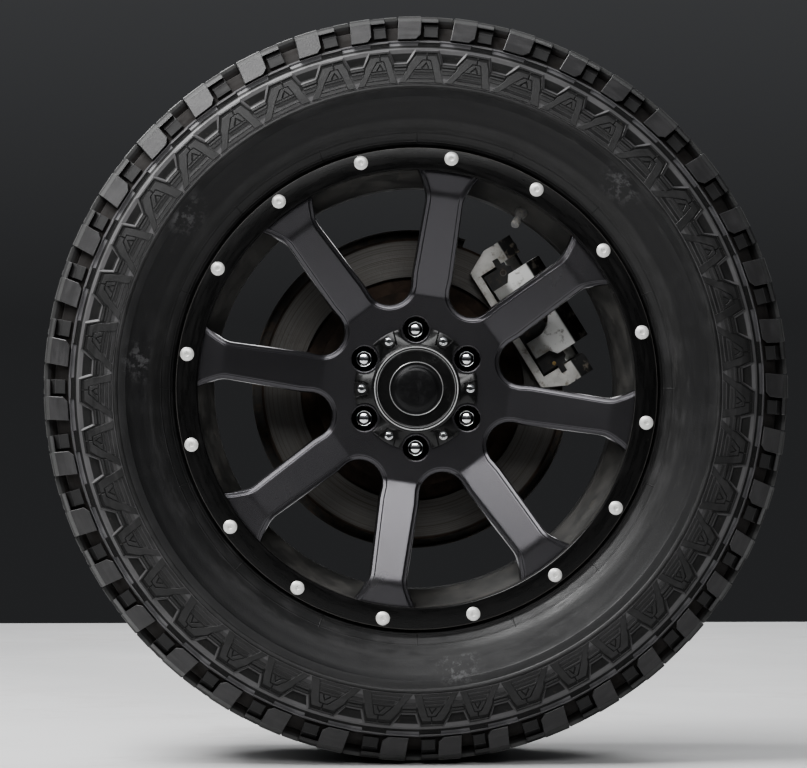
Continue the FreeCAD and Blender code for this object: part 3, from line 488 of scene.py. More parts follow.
columns = []
last = len(window_edge) - 1
for i in range(last + 1):
    ahead = window_edge[min(i + 1, last)] - window_edge[max(i - 1, 0)]
    away = Vector((ahead.y, -ahead.x)).normalized()
    if i in (0, last):
        away = Vector((math.copysign(1, window_edge[i].x), 0))
    spots = [(partners[i], BACK, 0), (window_edge[i].lerp(partners[i], 0.5), BACK, 0),
             (window_edge[i] + away * BACK_ROUNDING, BACK, 0),
             (window_edge[i], BACK, BACK_ROUNDING)]
    spots += [(window_edge[i] + away * step, FRONT, drop) for step, drop in wall_rows]
    start = spots[-1][0]
    spots += [(start.lerp(partners[i], t), FRONT, 0) for t in face_shares]
    columns.append([])
    for spot, depths, drop in spots:
        r = RIM_INNER_R if i in (0, last) else min(spot.length, RIM_INNER_R)
        flat = spot * (r / spot.length)
        out = depth_at(along_spoke(flat), depths) + drop
        columns[-1].append(Vector((flat.x, -out, flat.y)) * MM)
eighth = grid_of_points("wheel_eighth", columns)
spoke_part = all_round(eighth, SPOKES, FIRST_WINDOW_ANGLE, "spoke_part")

# %% [markdown]
# The hub is six equal parts, one for each lug nut. Each is again a grid: its columns go
# round the nut's well and its rows run from the back, through the hole, up the seat's cone
# and the well's wall, and out over the flat face.

# %% One sixth of the hub
LUGS = 6
LUG_CIRCLE_R = 67.5
BORE_R = 43.6
arc_angles = [-29.0 + 3.75 * k for k in range(17)]
side_radii = [HUB_RING_R + (BORE_R - HUB_RING_R) * k / 8 for k in range(1, 8)]
loop = [(HUB_RING_R, a) for a in arc_angles] + [(r, arc_angles[-1]) for r in side_radii]
loop += [(BORE_R, a) for a in reversed(arc_angles)]
loop += [(r, arc_angles[0]) for r in reversed(side_radii)]
loop.append(loop[0])
hub_rim = [Vector(clock(r, a)) for r, a in loop]
lug = Vector((0, LUG_CIRCLE_R))
well_rows = [(7.6, HUB_BACK), (7.6, 284.5), (10.6, 290.5), (14.3, 290.8), (14.3, 338.9),
             (14.5, 339.6), (15.1, HUB_FACE), (15.9, HUB_FACE)]
columns = []
for edge_point in hub_rim:
    way = (edge_point - lug).normalized()
    spots = [(edge_point, HUB_BACK)]
    spots += [(lug + way * r, out) for r, out in well_rows]
    spots += [(edge_point, HUB_FACE)]
    columns.append([Vector((spot.x, -out, spot.y)) * MM for spot, out in spots])
sixth = grid_of_points("hub_sixth", columns)
hub_part = all_round(sixth, LUGS, 0, "hub_part")

# %% [markdown]
# The spokes and the hub meet on one ring of points, so merging the doubles makes them one
# casting. The open loops that are left, at the bore and at the ends of the spokes, are
# closed, and then every face is turned outwards.

# %% Join hub and spokes
centre = joined([spoke_part, hub_part], "wheel_centre_dressed")
into_edit(centre)
bpy.ops.mesh.remove_doubles(threshold=0.00002)
bpy.ops.mesh.select_all(action="DESELECT")
out_of_edit()
for edge in centre.data.edges:
    edge.select = all(abs(math.hypot(centre.data.vertices[v].co.x, centre.data.vertices[v].co.z)
                          - BORE_R * MM) < 1e-5 for v in edge.vertices)
bpy.ops.object.mode_set(mode="EDIT")
bpy.ops.mesh.select_mode(type="EDGE")
bpy.ops.mesh.bridge_edge_loops()
bpy.ops.mesh.select_all(action="DESELECT")
bpy.ops.mesh.select_non_manifold(use_non_contiguous=False)
bpy.ops.mesh.fill()
out_of_edit()
tidy(centre, angle=38)
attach(centre, "wheel")
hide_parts("wheel_centre")
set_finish(centre, "wheel_paint")
bpy.ops.object.mode_set(mode="EDIT")
bpy.ops.mesh.select_all(action="DESELECT")
bpy.ops.mesh.select_non_manifold()
out_of_edit()
print("wheel centre:", len(centre.data.polygons), "faces,",
      sum(e.select for e in centre.data.edges), "open edges")

# %% [markdown]
# ## Lip ring and rivets
# A flat ring covers the rim's outer edge. Both its edges have a narrow bevel that catches
# the light, and sixteen bright rivets stand on it. One rivet head is lathe work, a low dome
# with a small dimple. It is moved out to its circle, and copies go all round.

# %% Lip ring
ring = lathe("lip_ring_dressed", [
    (247, 370), (247, 373.4), (247.4, 374.2), (248.3, 374.9), (249.2, 375),
    (270.4, 375), (271.1, 374.8), (271.5, 374), (271.5, 370)], angle=24)
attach(ring, "wheel")
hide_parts("lip_ring")
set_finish(ring, "ring_paint")

# %% Rivets
RIVETS = 16
FIRST_RIVET_ANGLE = -14.0
RIVET_CIRCLE_R = 261.5
rivet = lathe("rivet", [
    (0, 375), (8, 375), (8, 375.9), (7.75, 376.3), (6.9, 376.8), (5.4, 377.25),
    (3.6, 377.5), (2.4, 377.55), (2, 377.3), (1.7, 376.3), (0, 376.1)], steps=26, angle=40)
rivets = all_round(rivet, RIVETS, FIRST_RIVET_ANGLE, "rivets_dressed", RIVET_CIRCLE_R)
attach(rivets, "wheel")
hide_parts("ring_rivets")
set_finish(rivets, "rivet_steel")
print("rivets:", len(rivets.data.polygons), "faces")

# %% [markdown]
# ## Centre cap
# The cap's plate is a disc with six bites, one round each nut's well, and six pockets for
# its screws. A flat outline is again a circle primitive with its corners moved. The drum in
# the middle is lathe work, two fine rings on its top are painted bright as highlights, and a
# plain ringed disc fills its face.

# %% Cap plate
CAP_R = 70.0
BITE_R = 17.6


def flat_piece(name, outline, near, far, edge, segments=2):
    """A plate across the axle from an outline of (x, z) in mm, with a bevelled front."""
    into_edit(ring_of_points([Vector((x, -near, z)) * MM for x, z in outline]))
    bpy.ops.mesh.edge_face_add()
    bpy.ops.mesh.extrude_region_move(
        TRANSFORM_OT_translate={"value": (0, -(far - near) * MM, 0)})
    bpy.ops.mesh.bevel(offset=edge * MM, segments=segments, affect="EDGES")
    out_of_edit()
    return tidy(named(name), angle=24)


bite_half = math.degrees(math.acos((CAP_R ** 2 + LUG_CIRCLE_R ** 2 - BITE_R ** 2)
                                   / (2 * CAP_R * LUG_CIRCLE_R)))
plate_outline = []
for k in range(LUGS):
    middle = clock(LUG_CIRCLE_R, 60 * k)
    start = clock(CAP_R, 60 * k - bite_half)
    swing = math.degrees(math.atan2(start[0] - middle[0], start[1] - middle[1]))
    sweep = 360 - 2 * ((60 * k - swing) % 360)
    for j in range(13):
        x, z = clock(BITE_R, swing - sweep * j / 12)
        plate_outline.append((middle[0] + x, middle[1] + z))
    span = 60 - 2 * bite_half
    plate_outline += [clock(CAP_R, 60 * k + bite_half + span * j / 9) for j in range(1, 9)]
cap_plate = flat_piece("cap_plate", plate_outline, 340.1, 344, 0.7)

# %% Cap pockets and drum
SCREW_CIRCLE_R = 61.6
POCKET = (343.0, 346.4, 0.35, 1)  # its walls' back, front, bevel and bevel segments
pockets = []
for sign in (-1, 1):
    wall = [(sign * 5.2, 54.6), (sign * 6.6, 54), (sign * 10.8, 69), (sign * 9.4, 69.2)]
    pockets.append(flat_piece("pocket_wall", wall, *POCKET))
arc = [clock(7.6, a) for a in range(110, 251, 14)]
arc += [clock(6.3, a) for a in range(250, 109, -14)]
arc = [(x, SCREW_CIRCLE_R + z) for x, z in arc]
pockets.append(flat_piece("pocket_arc", arc, *POCKET))
pockets = all_round(joined(pockets, "pocket"), LUGS, 30, "pockets")

drum_part = lathe("cap_drum", [
    (0, 343), (50.6, 343), (50.8, 343.8), (50.2, 344.3), (48.9, 344.6), (48.6, 345.2),
    (48.5, 351.3), (48.2, 352), (47.6, 352.4), (46.9, 352.5), (46.3, 352.2), (46.1, 351.5),
    (45.8, 350.9), (45.3, 350.9), (45, 351.6), (44.7, 351.9), (44.1, 351.9), (43.8, 351.5),
    (43.5, 350.2), (43, 349.9), (42.2, 349.9), (38, 350.2), (0, 350.2)],
    steps=96, angle=36)
cap = joined([cap_plate, pockets, drum_part], "cap_dressed")
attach(cap, "wheel")
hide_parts("centre_cap")
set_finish(cap, "cap_plastic")

# %% Badge and cap screws
badge = lathe("badge_dressed", [
    (0, 350), (30.7, 350), (30.7, 353.9), (30.5, 354.5), (30.1, 354.8), (29.6, 354.6),
    (29.3, 353.9), (28.9, 353.5), (27.6, 353.4), (24.6, 353.6), (24.2, 353.9), (23.6, 354.3),
    (20, 354.7), (10, 355), (0, 355)], steps=96, angle=34)
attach(badge, "wheel")
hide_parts("cap_badge")
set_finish(badge, "badge_metal")

screw = lathe("cap_screw", [
    (0, 344), (5, 344), (5, 345.2), (4.7, 345.8), (4, 346.1), (3.8, 346.3),
    (3.7, 346.9), (3.4, 347.2), (2.8, 347.3), (2.5, 347), (2.3, 344.5), (0, 344.3)],
    steps=18, angle=40)
screws = all_round(screw, LUGS, 30, "cap_screws", SCREW_CIRCLE_R)
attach(screws, "wheel")
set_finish(screws, "nut_chrome")
print("cap:", len(cap.data.polygons), "faces; screws:", len(screws.data.polygons))

# %% [markdown]
# ## Lug nuts
# The nuts are chromed, with a cone at the foot and a round dome with a fine groove round it.
# Six flutes down the side take the key: every fourth line of corners is pushed in there,
# while the foot and the dome stay round.

# %% Lug nuts
FLUTE_SHARE = 0.95
DOME_R = 8.4
FLUTE_FOOT = 292
nut = lathe("nut", [
    (0, 300), (8, 300), (8, 285.2), (10.3, 290.4), (9.9, 291.2), (9.9, 320.9),
    (9.8, 321.8), (9.5, 322.4), (9, 322.8), (8.5, 322.9), (8, 322.6), (7.7, 322.8),
    (7.1, 323.2), (5.6, 323.7), (3.7, 324.15), (1.8, 324.4), (0, 324.5)], steps=24, angle=50)
for corner_point in nut.data.vertices:
    x, y, z = corner_point.co
    r = math.hypot(x, z)
    turn = math.degrees(math.atan2(x, z)) % 60
    if r > DOME_R * MM and -y > FLUTE_FOOT * MM and 22 < turn < 38:
        corner_point.co = Vector((x * FLUTE_SHARE, y, z * FLUTE_SHARE))
nuts = all_round(nut, LUGS, 0, "nuts_dressed", LUG_CIRCLE_R)
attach(nuts, "wheel")
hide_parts("lug_nuts")
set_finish(nuts, "nut_chrome")
print("nuts:", len(nuts.data.polygons), "faces")

# %% [markdown]
# ## Valve stem
# A rubber stem leans out of the drop centre through one window, with a cap on its tip. It is
# turned upright on the lathe, then tipped to its angle and moved to its foot.

# %% Valve stem
VALVE_ANGLE = 31.0
foot = Vector((0, -(RIM_CENTRE + 79.65), 234))
tip = Vector((0, -(RIM_CENTRE + 108.585), 216))
stem = lathe("valve_dressed", [
    (0, 0), (7.5, 0), (7.3, 2), (5.4, 4.6), (4.6, 9), (4.2, 17), (3.6, 20.4),
    (3.4, 21.4), (4.9, 21.8), (5, 23), (5, 32), (4.4, 33.6), (0, 34)],
    steps=20, angle=40)
lean = Vector((0, -1, 0)).rotation_difference(tip - foot).to_matrix().to_4x4()
stem.data.transform(Matrix.Rotation(math.radians(VALVE_ANGLE), 4, "Y")
                    @ Matrix.Translation(foot * MM) @ lean)
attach(stem, "wheel")
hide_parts("valve_stem")
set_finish(stem, "valve_rubber")

# %% [markdown]
# ## Caliper and bracket
# Both are castings, so every edge is rounded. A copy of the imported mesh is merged, its flat
# faces are dissolved into single faces, and its sharp edges get a small bevel. Two details
# lie on the outer backing plate: a rusty ring at one end and a brass stud at the other.

# %% Castings
def cast(node_name, name, radius):
    """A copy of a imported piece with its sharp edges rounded."""
    node = nodes[node_name]
    mesh = node.data.copy()
    mesh.transform(node.matrix_world)
    piece = bpy.data.objects.new(name, mesh)
    bpy.context.collection.objects.link(piece)
    mesh.name = name
    into_edit(piece)
    bpy.ops.mesh.remove_doubles(threshold=0.00002)
    bpy.ops.mesh.dissolve_limited(angle_limit=math.radians(1))
    bpy.ops.mesh.select_mode(type="EDGE")
    bpy.ops.mesh.select_all(action="DESELECT")
    bpy.ops.mesh.edges_select_sharp(sharpness=math.radians(30))
    bpy.ops.mesh.bevel(offset=radius * MM, segments=2, affect="EDGES", clamp_overlap=True)
    bpy.ops.mesh.select_all(action="SELECT")
    bpy.ops.mesh.vert_connect_concave()
    out_of_edit()
    bpy.ops.object.shade_smooth_by_angle(angle=math.radians(26))
    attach(piece, "axle_end")
    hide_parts(node_name)
    print(name, len(piece.data.polygons), "faces")
    return piece


caliper = cast("caliper_body", "caliper_dressed", 1.6)
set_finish(caliper, "caliper_alloy")
bracket = cast("caliper_bracket", "bracket_dressed", 1.4)
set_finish(bracket, "bracket_iron")

# %% Ring and stud on the outer backing plate
CALIPER_ANGLE = math.radians(58)
plate_face = -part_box("pad_backings")[0][1] / MM


def on_plate(name, across, up, outline, finish_slot):
    """A small turned piece on the plate's face, at a place across and up the caliper."""
    piece = lathe(name, [(r, plate_face + out) for r, out in outline], steps=18, angle=40)
    c, s = math.cos(CALIPER_ANGLE), math.sin(CALIPER_ANGLE)
    piece.data.transform(Matrix.Translation(
        Vector((across * c + up * s, 0, up * c - across * s)) * MM))
    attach(piece, "axle_end")
    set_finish(piece, finish_slot)


ring_outline = [(2.7, -0.3), (4, -0.3), (4, 0.6), (3.7, 0.9), (3, 0.9), (2.7, 0.6)]
stud_outline = [(0, -0.3), (2.4, -0.3), (2.4, 0.7), (2.1, 1), (1.4, 1), (1.1, 0.7), (0.9, 0.2),
                (0, 0.2)]
on_plate("plate_ring", -58.4, 160.3, ring_outline, "plain_iron")
on_plate("plate_stud", 61.8, 155, stud_outline, "brass_fitting")

# %% [markdown]
# ## Materials
# Each finish is made of nodes. A small class wraps a node's output, so that sums and products
# of masks can be written as plain arithmetic. One method adds every other node. A colour is
# built up as paint is: a base, and then one coat after another, each shown by its own mask.

# %% Node maths
class Value:
    """A node's output, with arithmetic that adds Math nodes."""

    def __init__(self, shader, output):
        self.shader = shader
        self.output = output

    def worked(self, operation, first, second):
        return self.shader.node("ShaderNodeMath", {"operation": operation},
                                {0: first, 1: second})

    def __add__(self, other):
        return self.worked("ADD", self, other)

    __radd__ = __add__

    def __mul__(self, other):
        return self.worked("MULTIPLY", self, other)

    __rmul__ = __mul__

    def __sub__(self, other):
        return self.worked("SUBTRACT", self, other)

    def __rsub__(self, other):
        return self.worked("SUBTRACT", other, self)

    def __pow__(self, other):
        return self.worked("POWER", self, other)

    def __abs__(self):
        return self.worked("ABSOLUTE", self, 0)


class Shader:
    """The nodes of one material, with the places on the part that they read."""

    def __init__(self, name):
        self.material = bpy.data.materials.new(name)
        self.material.use_nodes = True
        self.tree = self.material.node_tree
        self.surface = self.tree.nodes["Principled BSDF"]
        self.point = self.node("ShaderNodeTexCoord", {}, {}, "Object")
        self.x, self.y, self.z = [
            self.node("ShaderNodeSeparateXYZ", {}, {"Vector": self.point}, axis) * 1000
            for axis in "XYZ"]
        self.r = (self.x * self.x + self.z * self.z) ** 0.5

    def node(self, kind, settings, inputs, output=0):
        """Adds a node; settings are set first, then its sockets get values or links."""
        node = self.tree.nodes.new(kind)
        for key, value in settings.items():
            setattr(node, key, value)
        for key, value in inputs.items():
            self.feed(node.inputs[key], value)
        return Value(self, node.outputs[output])

    def feed(self, socket, value):
        """Links a node's output to a socket, or sets a number or a colour on it."""
        if isinstance(value, Value):
            self.tree.links.new(value.output, socket)
        elif isinstance(value, tuple) and len(value) == 3 and socket.type == "RGBA":
            socket.default_value = (*value, 1)
        else:
            socket.default_value = value

    def noise(self, scale, detail, rough, vector=None):
        return self.node("ShaderNodeTexNoise", {}, {
            "Vector": self.point if vector is None else vector, "Scale": scale,
            "Detail": detail, "Roughness": rough})

    def between(self, value, low, high):
        """0 below one level, 1 above another, and a smooth rise in between."""
        return self.node("ShaderNodeMapRange", {"interpolation_type": "SMOOTHSTEP"},
                         {"Value": value, "From Min": low, "From Max": high})

    def mixed(self, first, second, mask):
        """The second colour over the first, where the mask shows it."""
        return self.node("ShaderNodeMix", {"data_type": "RGBA"},
                         {0: mask, 6: first, 7: second}, 2)

    def painted(self, base, *coats):
        """A base colour under coats, each a colour and the mask that shows it."""
        for colour, mask in coats:
            base = self.mixed(base, colour, mask)
        return base

    def turn(self):
        """The angle round the axle."""
        return self.node("ShaderNodeMath", {"operation": "ARCTAN2"}, {0: self.x, 1: self.z})

    def round_axle(self, along, across):
        """Coordinates that follow the circle: angle, radius and place along the axle."""
        return self.node("ShaderNodeCombineXYZ", {}, {
            0: self.turn() * along, 1: self.r * across, 2: self.y * across})

    def finish(self, colour, roughness, bump, depth=0.0002, metallic=0, coat=0,
               coat_roughness=0.1, specular=0.5):
        """Sets the shader's own sockets; the bump's depth is in metres."""
        normal = self.node("ShaderNodeBump", {}, {"Height": bump, "Distance": depth})
        for socket, value in (
                ("Base Color", colour), ("Roughness", roughness), ("Metallic", metallic),
                ("Coat Weight", coat), ("Coat Roughness", coat_roughness),
                ("Specular IOR Level", specular), ("Normal", normal)):
            self.feed(self.surface.inputs[socket], value)
        return self.material


def grey(level):
    return (level, level, level)


# %% [markdown]
# Tyre rubber is nearly black where it is smooth, and painted shade darkens the sidewall's
# recesses and the sunk faces of the tread. The raised faces are dusty and scuffed; the
# chamfers round the heads and the ribs beyond them are painted lighter as highlights, the
# chamfers with some dust. Brown dirt sits in the open grooves and darkens them as painted
# shade too. How deep a place lies is worked out from the same wall and crown lines that the
# blocks were bent on.

# %% Tyre rubber
def tyre_rubber():
    m = Shader("tyre_rubber")
    s = abs(m.y + RIM_CENTRE)
    raised = m.node("ShaderNodeAttribute", {"attribute_name": "height"}, {}, "Fac")
    depth = 0 - raised
    in_tread = m.between(m.r, 390.5, 391.5)
    on_wall = 1 - in_tread
    below_crown = TYRE_R - (s * s) * 0.00023 - m.r
    # Dirt in the deep grooves of the tread; its dark colour there is also painted shade.
    dirt = in_tread * m.between(depth, 5.8, 9) * m.between(below_crown, 2, 5)
    patches = m.noise(26, 5, 0.62)
    grain = m.noise(620, 4, 0.6)
    streaks = m.noise(1, 4, 0.6, m.round_axle(9, 0.16))
    dust = m.between(patches * 0.6 + streaks * 0.5, 0.47, 0.72)
    # A lighter band on the chamfers round the heads: a painted highlight, with some dust.
    edges = m.between(depth, 1.05, 1.3) * (1 - m.between(depth, 3.4, 3.7)) * on_wall
    # Lighter ribs in the recess beyond the heads: a painted highlight.
    strips = m.between(depth, 4.7, 4.9) * m.between(m.r, 380.2, 381) * on_wall
    # Painted shade in the sidewall's recesses, near black.
    painted_recess_shade = m.between(depth, 0.5, 1.1) * (1 - edges) * (1 - strips) * on_wall
    # Painted shade on the sunk faces of the tread.
    sunk = in_tread * m.between(depth, 4.3, 4.9) * (1 - dirt)
    smooth_band = m.between(m.r, 300, 304) * (1 - m.between(m.r, 331, 337))
    scuffs = m.between(m.noise(1, 6, 0.68, m.round_axle(5, 0.09)), 0.6, 0.78)
    soil = m.between(m.noise(70, 5, 0.65), 0.36, 0.66)
    brow = m.between(m.r, 412.6, 413.6) * (1 - m.between(depth, 3, 5))
    specks = m.between(m.noise(240, 3, 0.6), 0.62, 0.7) * painted_recess_shade
    chalk = sum(1 - m.between(((m.x - x) ** 2 + (m.z - z) ** 2) ** 0.5, 6, 34)
                for x, z in ((-309, 31), (-262, 196), (232, 232), (46, -312)))
    chalk = chalk * m.between(m.noise(110, 5, 0.7), 0.48, 0.6) * smooth_band
    colour = m.painted(
        grey(0.012), ((0.025, 0.0245, 0.025), dust),
        ((0.0065, 0.0065, 0.007), smooth_band * 0.85),
        ((0.044, 0.043, 0.044), in_tread * (0.5 + dust * 0.4)),
        ((0.11, 0.108, 0.11), edges * (0.45 + patches * 0.5)),
        ((0.115, 0.113, 0.118), strips * 0.8),
        (grey(0.0035), painted_recess_shade),
        (grey(0.012), sunk * 0.8),
        ((0.11, 0.107, 0.103), scuffs * (1 - painted_recess_shade) * 0.22),
        ((0.0065, 0.0047, 0.0036), dirt * (0.75 + soil * 0.25)),
        ((0.07, 0.071, 0.069), brow * 0.6),
        ((0.045, 0.04, 0.028), specks * 0.35),
        ((0.085, 0.084, 0.086), chalk * 0.6))
    circles = sum(1 - m.between(abs(m.r - r), 0.25, 0.7) for r in (288, 278, 274.7))
    spacing = m.node("ShaderNodeMath", {"operation": "PINGPONG"},
                     {0: m.turn(), 1: math.pi / 16})
    ribs = (1 - m.between(spacing * m.r, 0.25, 0.7)) * m.between(m.r, 274, 275)
    lines = circles + ribs * (1 - m.between(m.r, 289, 290))
    roughness = 0.4 + dust * 0.16 + dirt * 0.44 + sunk * 0.3 + painted_recess_shade * 0.25
    return m.finish(colour, roughness, grain * 0.5 + patches * 0.5 + lines * 0.8, 0.0004,
                    specular=0.42)


# %% [markdown]
# The wheel centre is painted in a satin dark grey with fine metal flake. Because the face is
# dished, its lower spokes lean up and catch the sky. A thin film of road dust dulls it in
# cloudy patches, more of it towards the rim.

# %% Paints of the wheel
def wheel_paint():
    m = Shader("wheel_paint")
    flake = m.noise(2600, 1, 0.5)
    clouds = m.noise(11, 4, 0.6)
    film = m.between(clouds, 0.4, 0.75) * (0.4 + m.between(m.r, 110, 240) * 0.6)
    specks = m.between(m.noise(150, 4, 0.7), 0.7, 0.76)
    bored = m.between(0 - m.y, 288, 291) * (1 - m.between(0 - m.y, 339.85, 339.98))
    # Painted shade: the bore and the nuts' wells behind the face are near black.
    painted_well_shade = (1 - m.between(m.r, 83, 84)) * bored
    colour = m.painted(
        (0.072, 0.07, 0.075), ((0.106, 0.104, 0.111), flake),
        ((0.098, 0.095, 0.095), film * 0.3), ((0.16, 0.155, 0.145), specks * 0.3),
        (grey(0.006), painted_well_shade))
    return m.finish(colour, 0.25 + film * 0.04, clouds * 0.6 + flake * 0.1, 0.00004,
                    metallic=0.9, coat=0.05, coat_roughness=0.32)


def ring_paint():
    m = Shader("ring_paint")
    clouds = m.noise(1, 4, 0.6, m.round_axle(7, 0.2))
    film = m.between(clouds, 0.42, 0.76)
    chips = m.between(m.noise(190, 4, 0.7), 0.7, 0.74)
    # A lighter line round the ring's outer edge: partly worn paint, partly a painted highlight.
    edge = m.between(m.r, 270.2, 271)
    colour = m.painted(grey(0.003), ((0.012, 0.011, 0.011), film * 0.4),
                       ((0.2, 0.19, 0.18), chips * 0.2 + edge * 0.3))
    return m.finish(colour, 0.27 + film * 0.12, clouds, 0.00005, coat=0.05, coat_roughness=0.3,
                    specular=0.22)


def barrel_paint():
    m = Shader("barrel_paint")
    clouds = m.noise(1, 5, 0.62, m.round_axle(6, 0.05))
    dust = m.between(clouds, 0.34, 0.74)
    splashes = m.between(m.noise(46, 5, 0.7), 0.58, 0.7)
    colour = m.painted((0.026, 0.026, 0.025), ((0.085, 0.081, 0.075), dust * 0.7),
                       ((0.12, 0.108, 0.092), splashes * 0.25))
    return m.finish(colour, 0.48 + dust * 0.3, clouds + splashes * 0.4, 0.0003)


# %% [markdown]
# Bright pieces: the nuts' chrome mirrors the studio and carries a few smudges, the rivets
# are bright steel with some grime, and the cap is gloss black plastic with fine scratches.

# %% Bright pieces and the cap
def nut_chrome():
    m = Shader("nut_chrome")
    smudge = m.between(m.noise(160, 4, 0.6), 0.5, 0.72)
    colour = m.mixed((0.82, 0.83, 0.84), (0.62, 0.61, 0.58), smudge * 0.6)
    return m.finish(colour, 0.07 + smudge * 0.14, smudge, 0.00004, metallic=1)


def bright_steel(name, clean, grimy, rough, amount):
    """Steel that tarnishes in small patches."""
    m = Shader(name)
    patches = m.between(m.noise(210, 4, 0.65), 0.46, 0.7)
    tint = m.between(m.noise(34, 3, 0.6), 0.44, 0.66)
    colour = m.mixed(clean, grimy, patches * amount * (0.4 + tint * 0.6))
    return m.finish(colour, rough + patches * 0.14, patches, 0.00003, metallic=0.5)


def cap_plastic():
    m = Shader("cap_plastic")
    haze = m.between(m.noise(48, 5, 0.62), 0.46, 0.76)
    scratches = m.between(m.noise(1, 2, 0.5, m.round_axle(3, 3.2)), 0.62, 0.72)
    # Two fine rings on the drum's top painted light grey: painted highlights.
    top = m.between(0 - m.y, 351.3, 351.8)
    rings = sum((1 - m.between(abs(m.r - r), 0.5, 0.9)) * share
                for r, share in ((47, 0.9), (44.4, 0.45)))
    colour = m.painted(grey(0.006), ((0.02, 0.02, 0.019), haze * 0.5),
                       (grey(0.06), scratches * 0.12), (grey(0.42), rings * top))
    return m.finish(colour, 0.24 + haze * 0.08, scratches * 0.4 + haze, 0.00002, coat=0.3,
                    coat_roughness=0.1, specular=0.35)


def badge_metal():
    m = Shader("badge_metal")
    rings = m.noise(1, 2, 0.5, m.round_axle(0.4, 5.5))
    smudge = m.between(m.noise(90, 4, 0.6), 0.45, 0.74)
    rim = m.between(m.r, 29.3, 29.6)
    colour = m.painted((0.006, 0.006, 0.0065), ((0.022, 0.022, 0.023), rings),
                       (grey(0.34), rim))
    return m.finish(colour, 0.28 + smudge * 0.14, rings, 0.00003, metallic=0.6)


# %% [markdown]
# Brake pieces. The disc is swept bright by its pads between two lips of rust, and its hat is
# dull and rusty. Castings are dusty, with rust that gathers in blotches. Measured along the
# caliper, its middle is painted whitish as painted light, and the caliper and the bracket
# turn near black further out as painted shade.

# %% Brake disc
def disc_iron():
    m = Shader("disc_iron")
    swept = m.between(m.r, 129, 131) * (1 - m.between(m.r, 171, 173))
    rings = m.noise(1, 3, 0.6, m.round_axle(0.25, 1.3))
    fine = m.noise(1, 2, 0.5, m.round_axle(0.6, 6))
    blotches = m.between(m.noise(30, 5, 0.66), 0.38, 0.68)
    bare = m.painted((0.085, 0.084, 0.08), ((0.145, 0.142, 0.136), fine),
                     ((0.05, 0.04, 0.032), m.between(rings, 0.44, 0.66) * 0.65))
    rust = m.mixed((0.02, 0.014, 0.01), (0.055, 0.036, 0.025), blotches)
    colour = m.mixed(rust, bare, swept * 0.88)
    roughness = 0.82 - swept * 0.4 + rings * 0.08
    return m.finish(colour, roughness, rings * 0.6 + fine * 0.2 + blotches * 0.5, 0.0003,
                    metallic=0.15 + swept * 0.55)


# %% Castings, sheet and small pieces
def weathered(name, base, worn, dirt, scale, share, rough, metallic, light_and_shade_bands=()):
    """A dusty surface: two tones of its own, blotches of dirt and a fine rough grain. Bands
    of painted light and painted shade start at a distance from the axle, measured along the
    caliper."""
    m = Shader(name)
    tone = m.noise(scale, 5, 0.62)
    blotches = m.between(m.noise(scale * 2.6, 5, 0.68),
                         0.62 - share * 0.3, 0.8 - share * 0.3)
    grain = m.noise(scale * 28, 3, 0.6)
    up = m.x * math.sin(CALIPER_ANGLE) + m.z * math.cos(CALIPER_ANGLE)
    colour = m.painted(
        base, (worn, m.between(tone, 0.36, 0.64)),
        *[(painted_tone, m.between(up + tone * 2, low, high)) for low, high, painted_tone in light_and_shade_bands],
        (dirt, blotches * 0.8))
    return m.finish(colour, rough + blotches * 0.2, tone * 0.4 + grain * 0.6, 0.0003,
                    metallic=metallic)


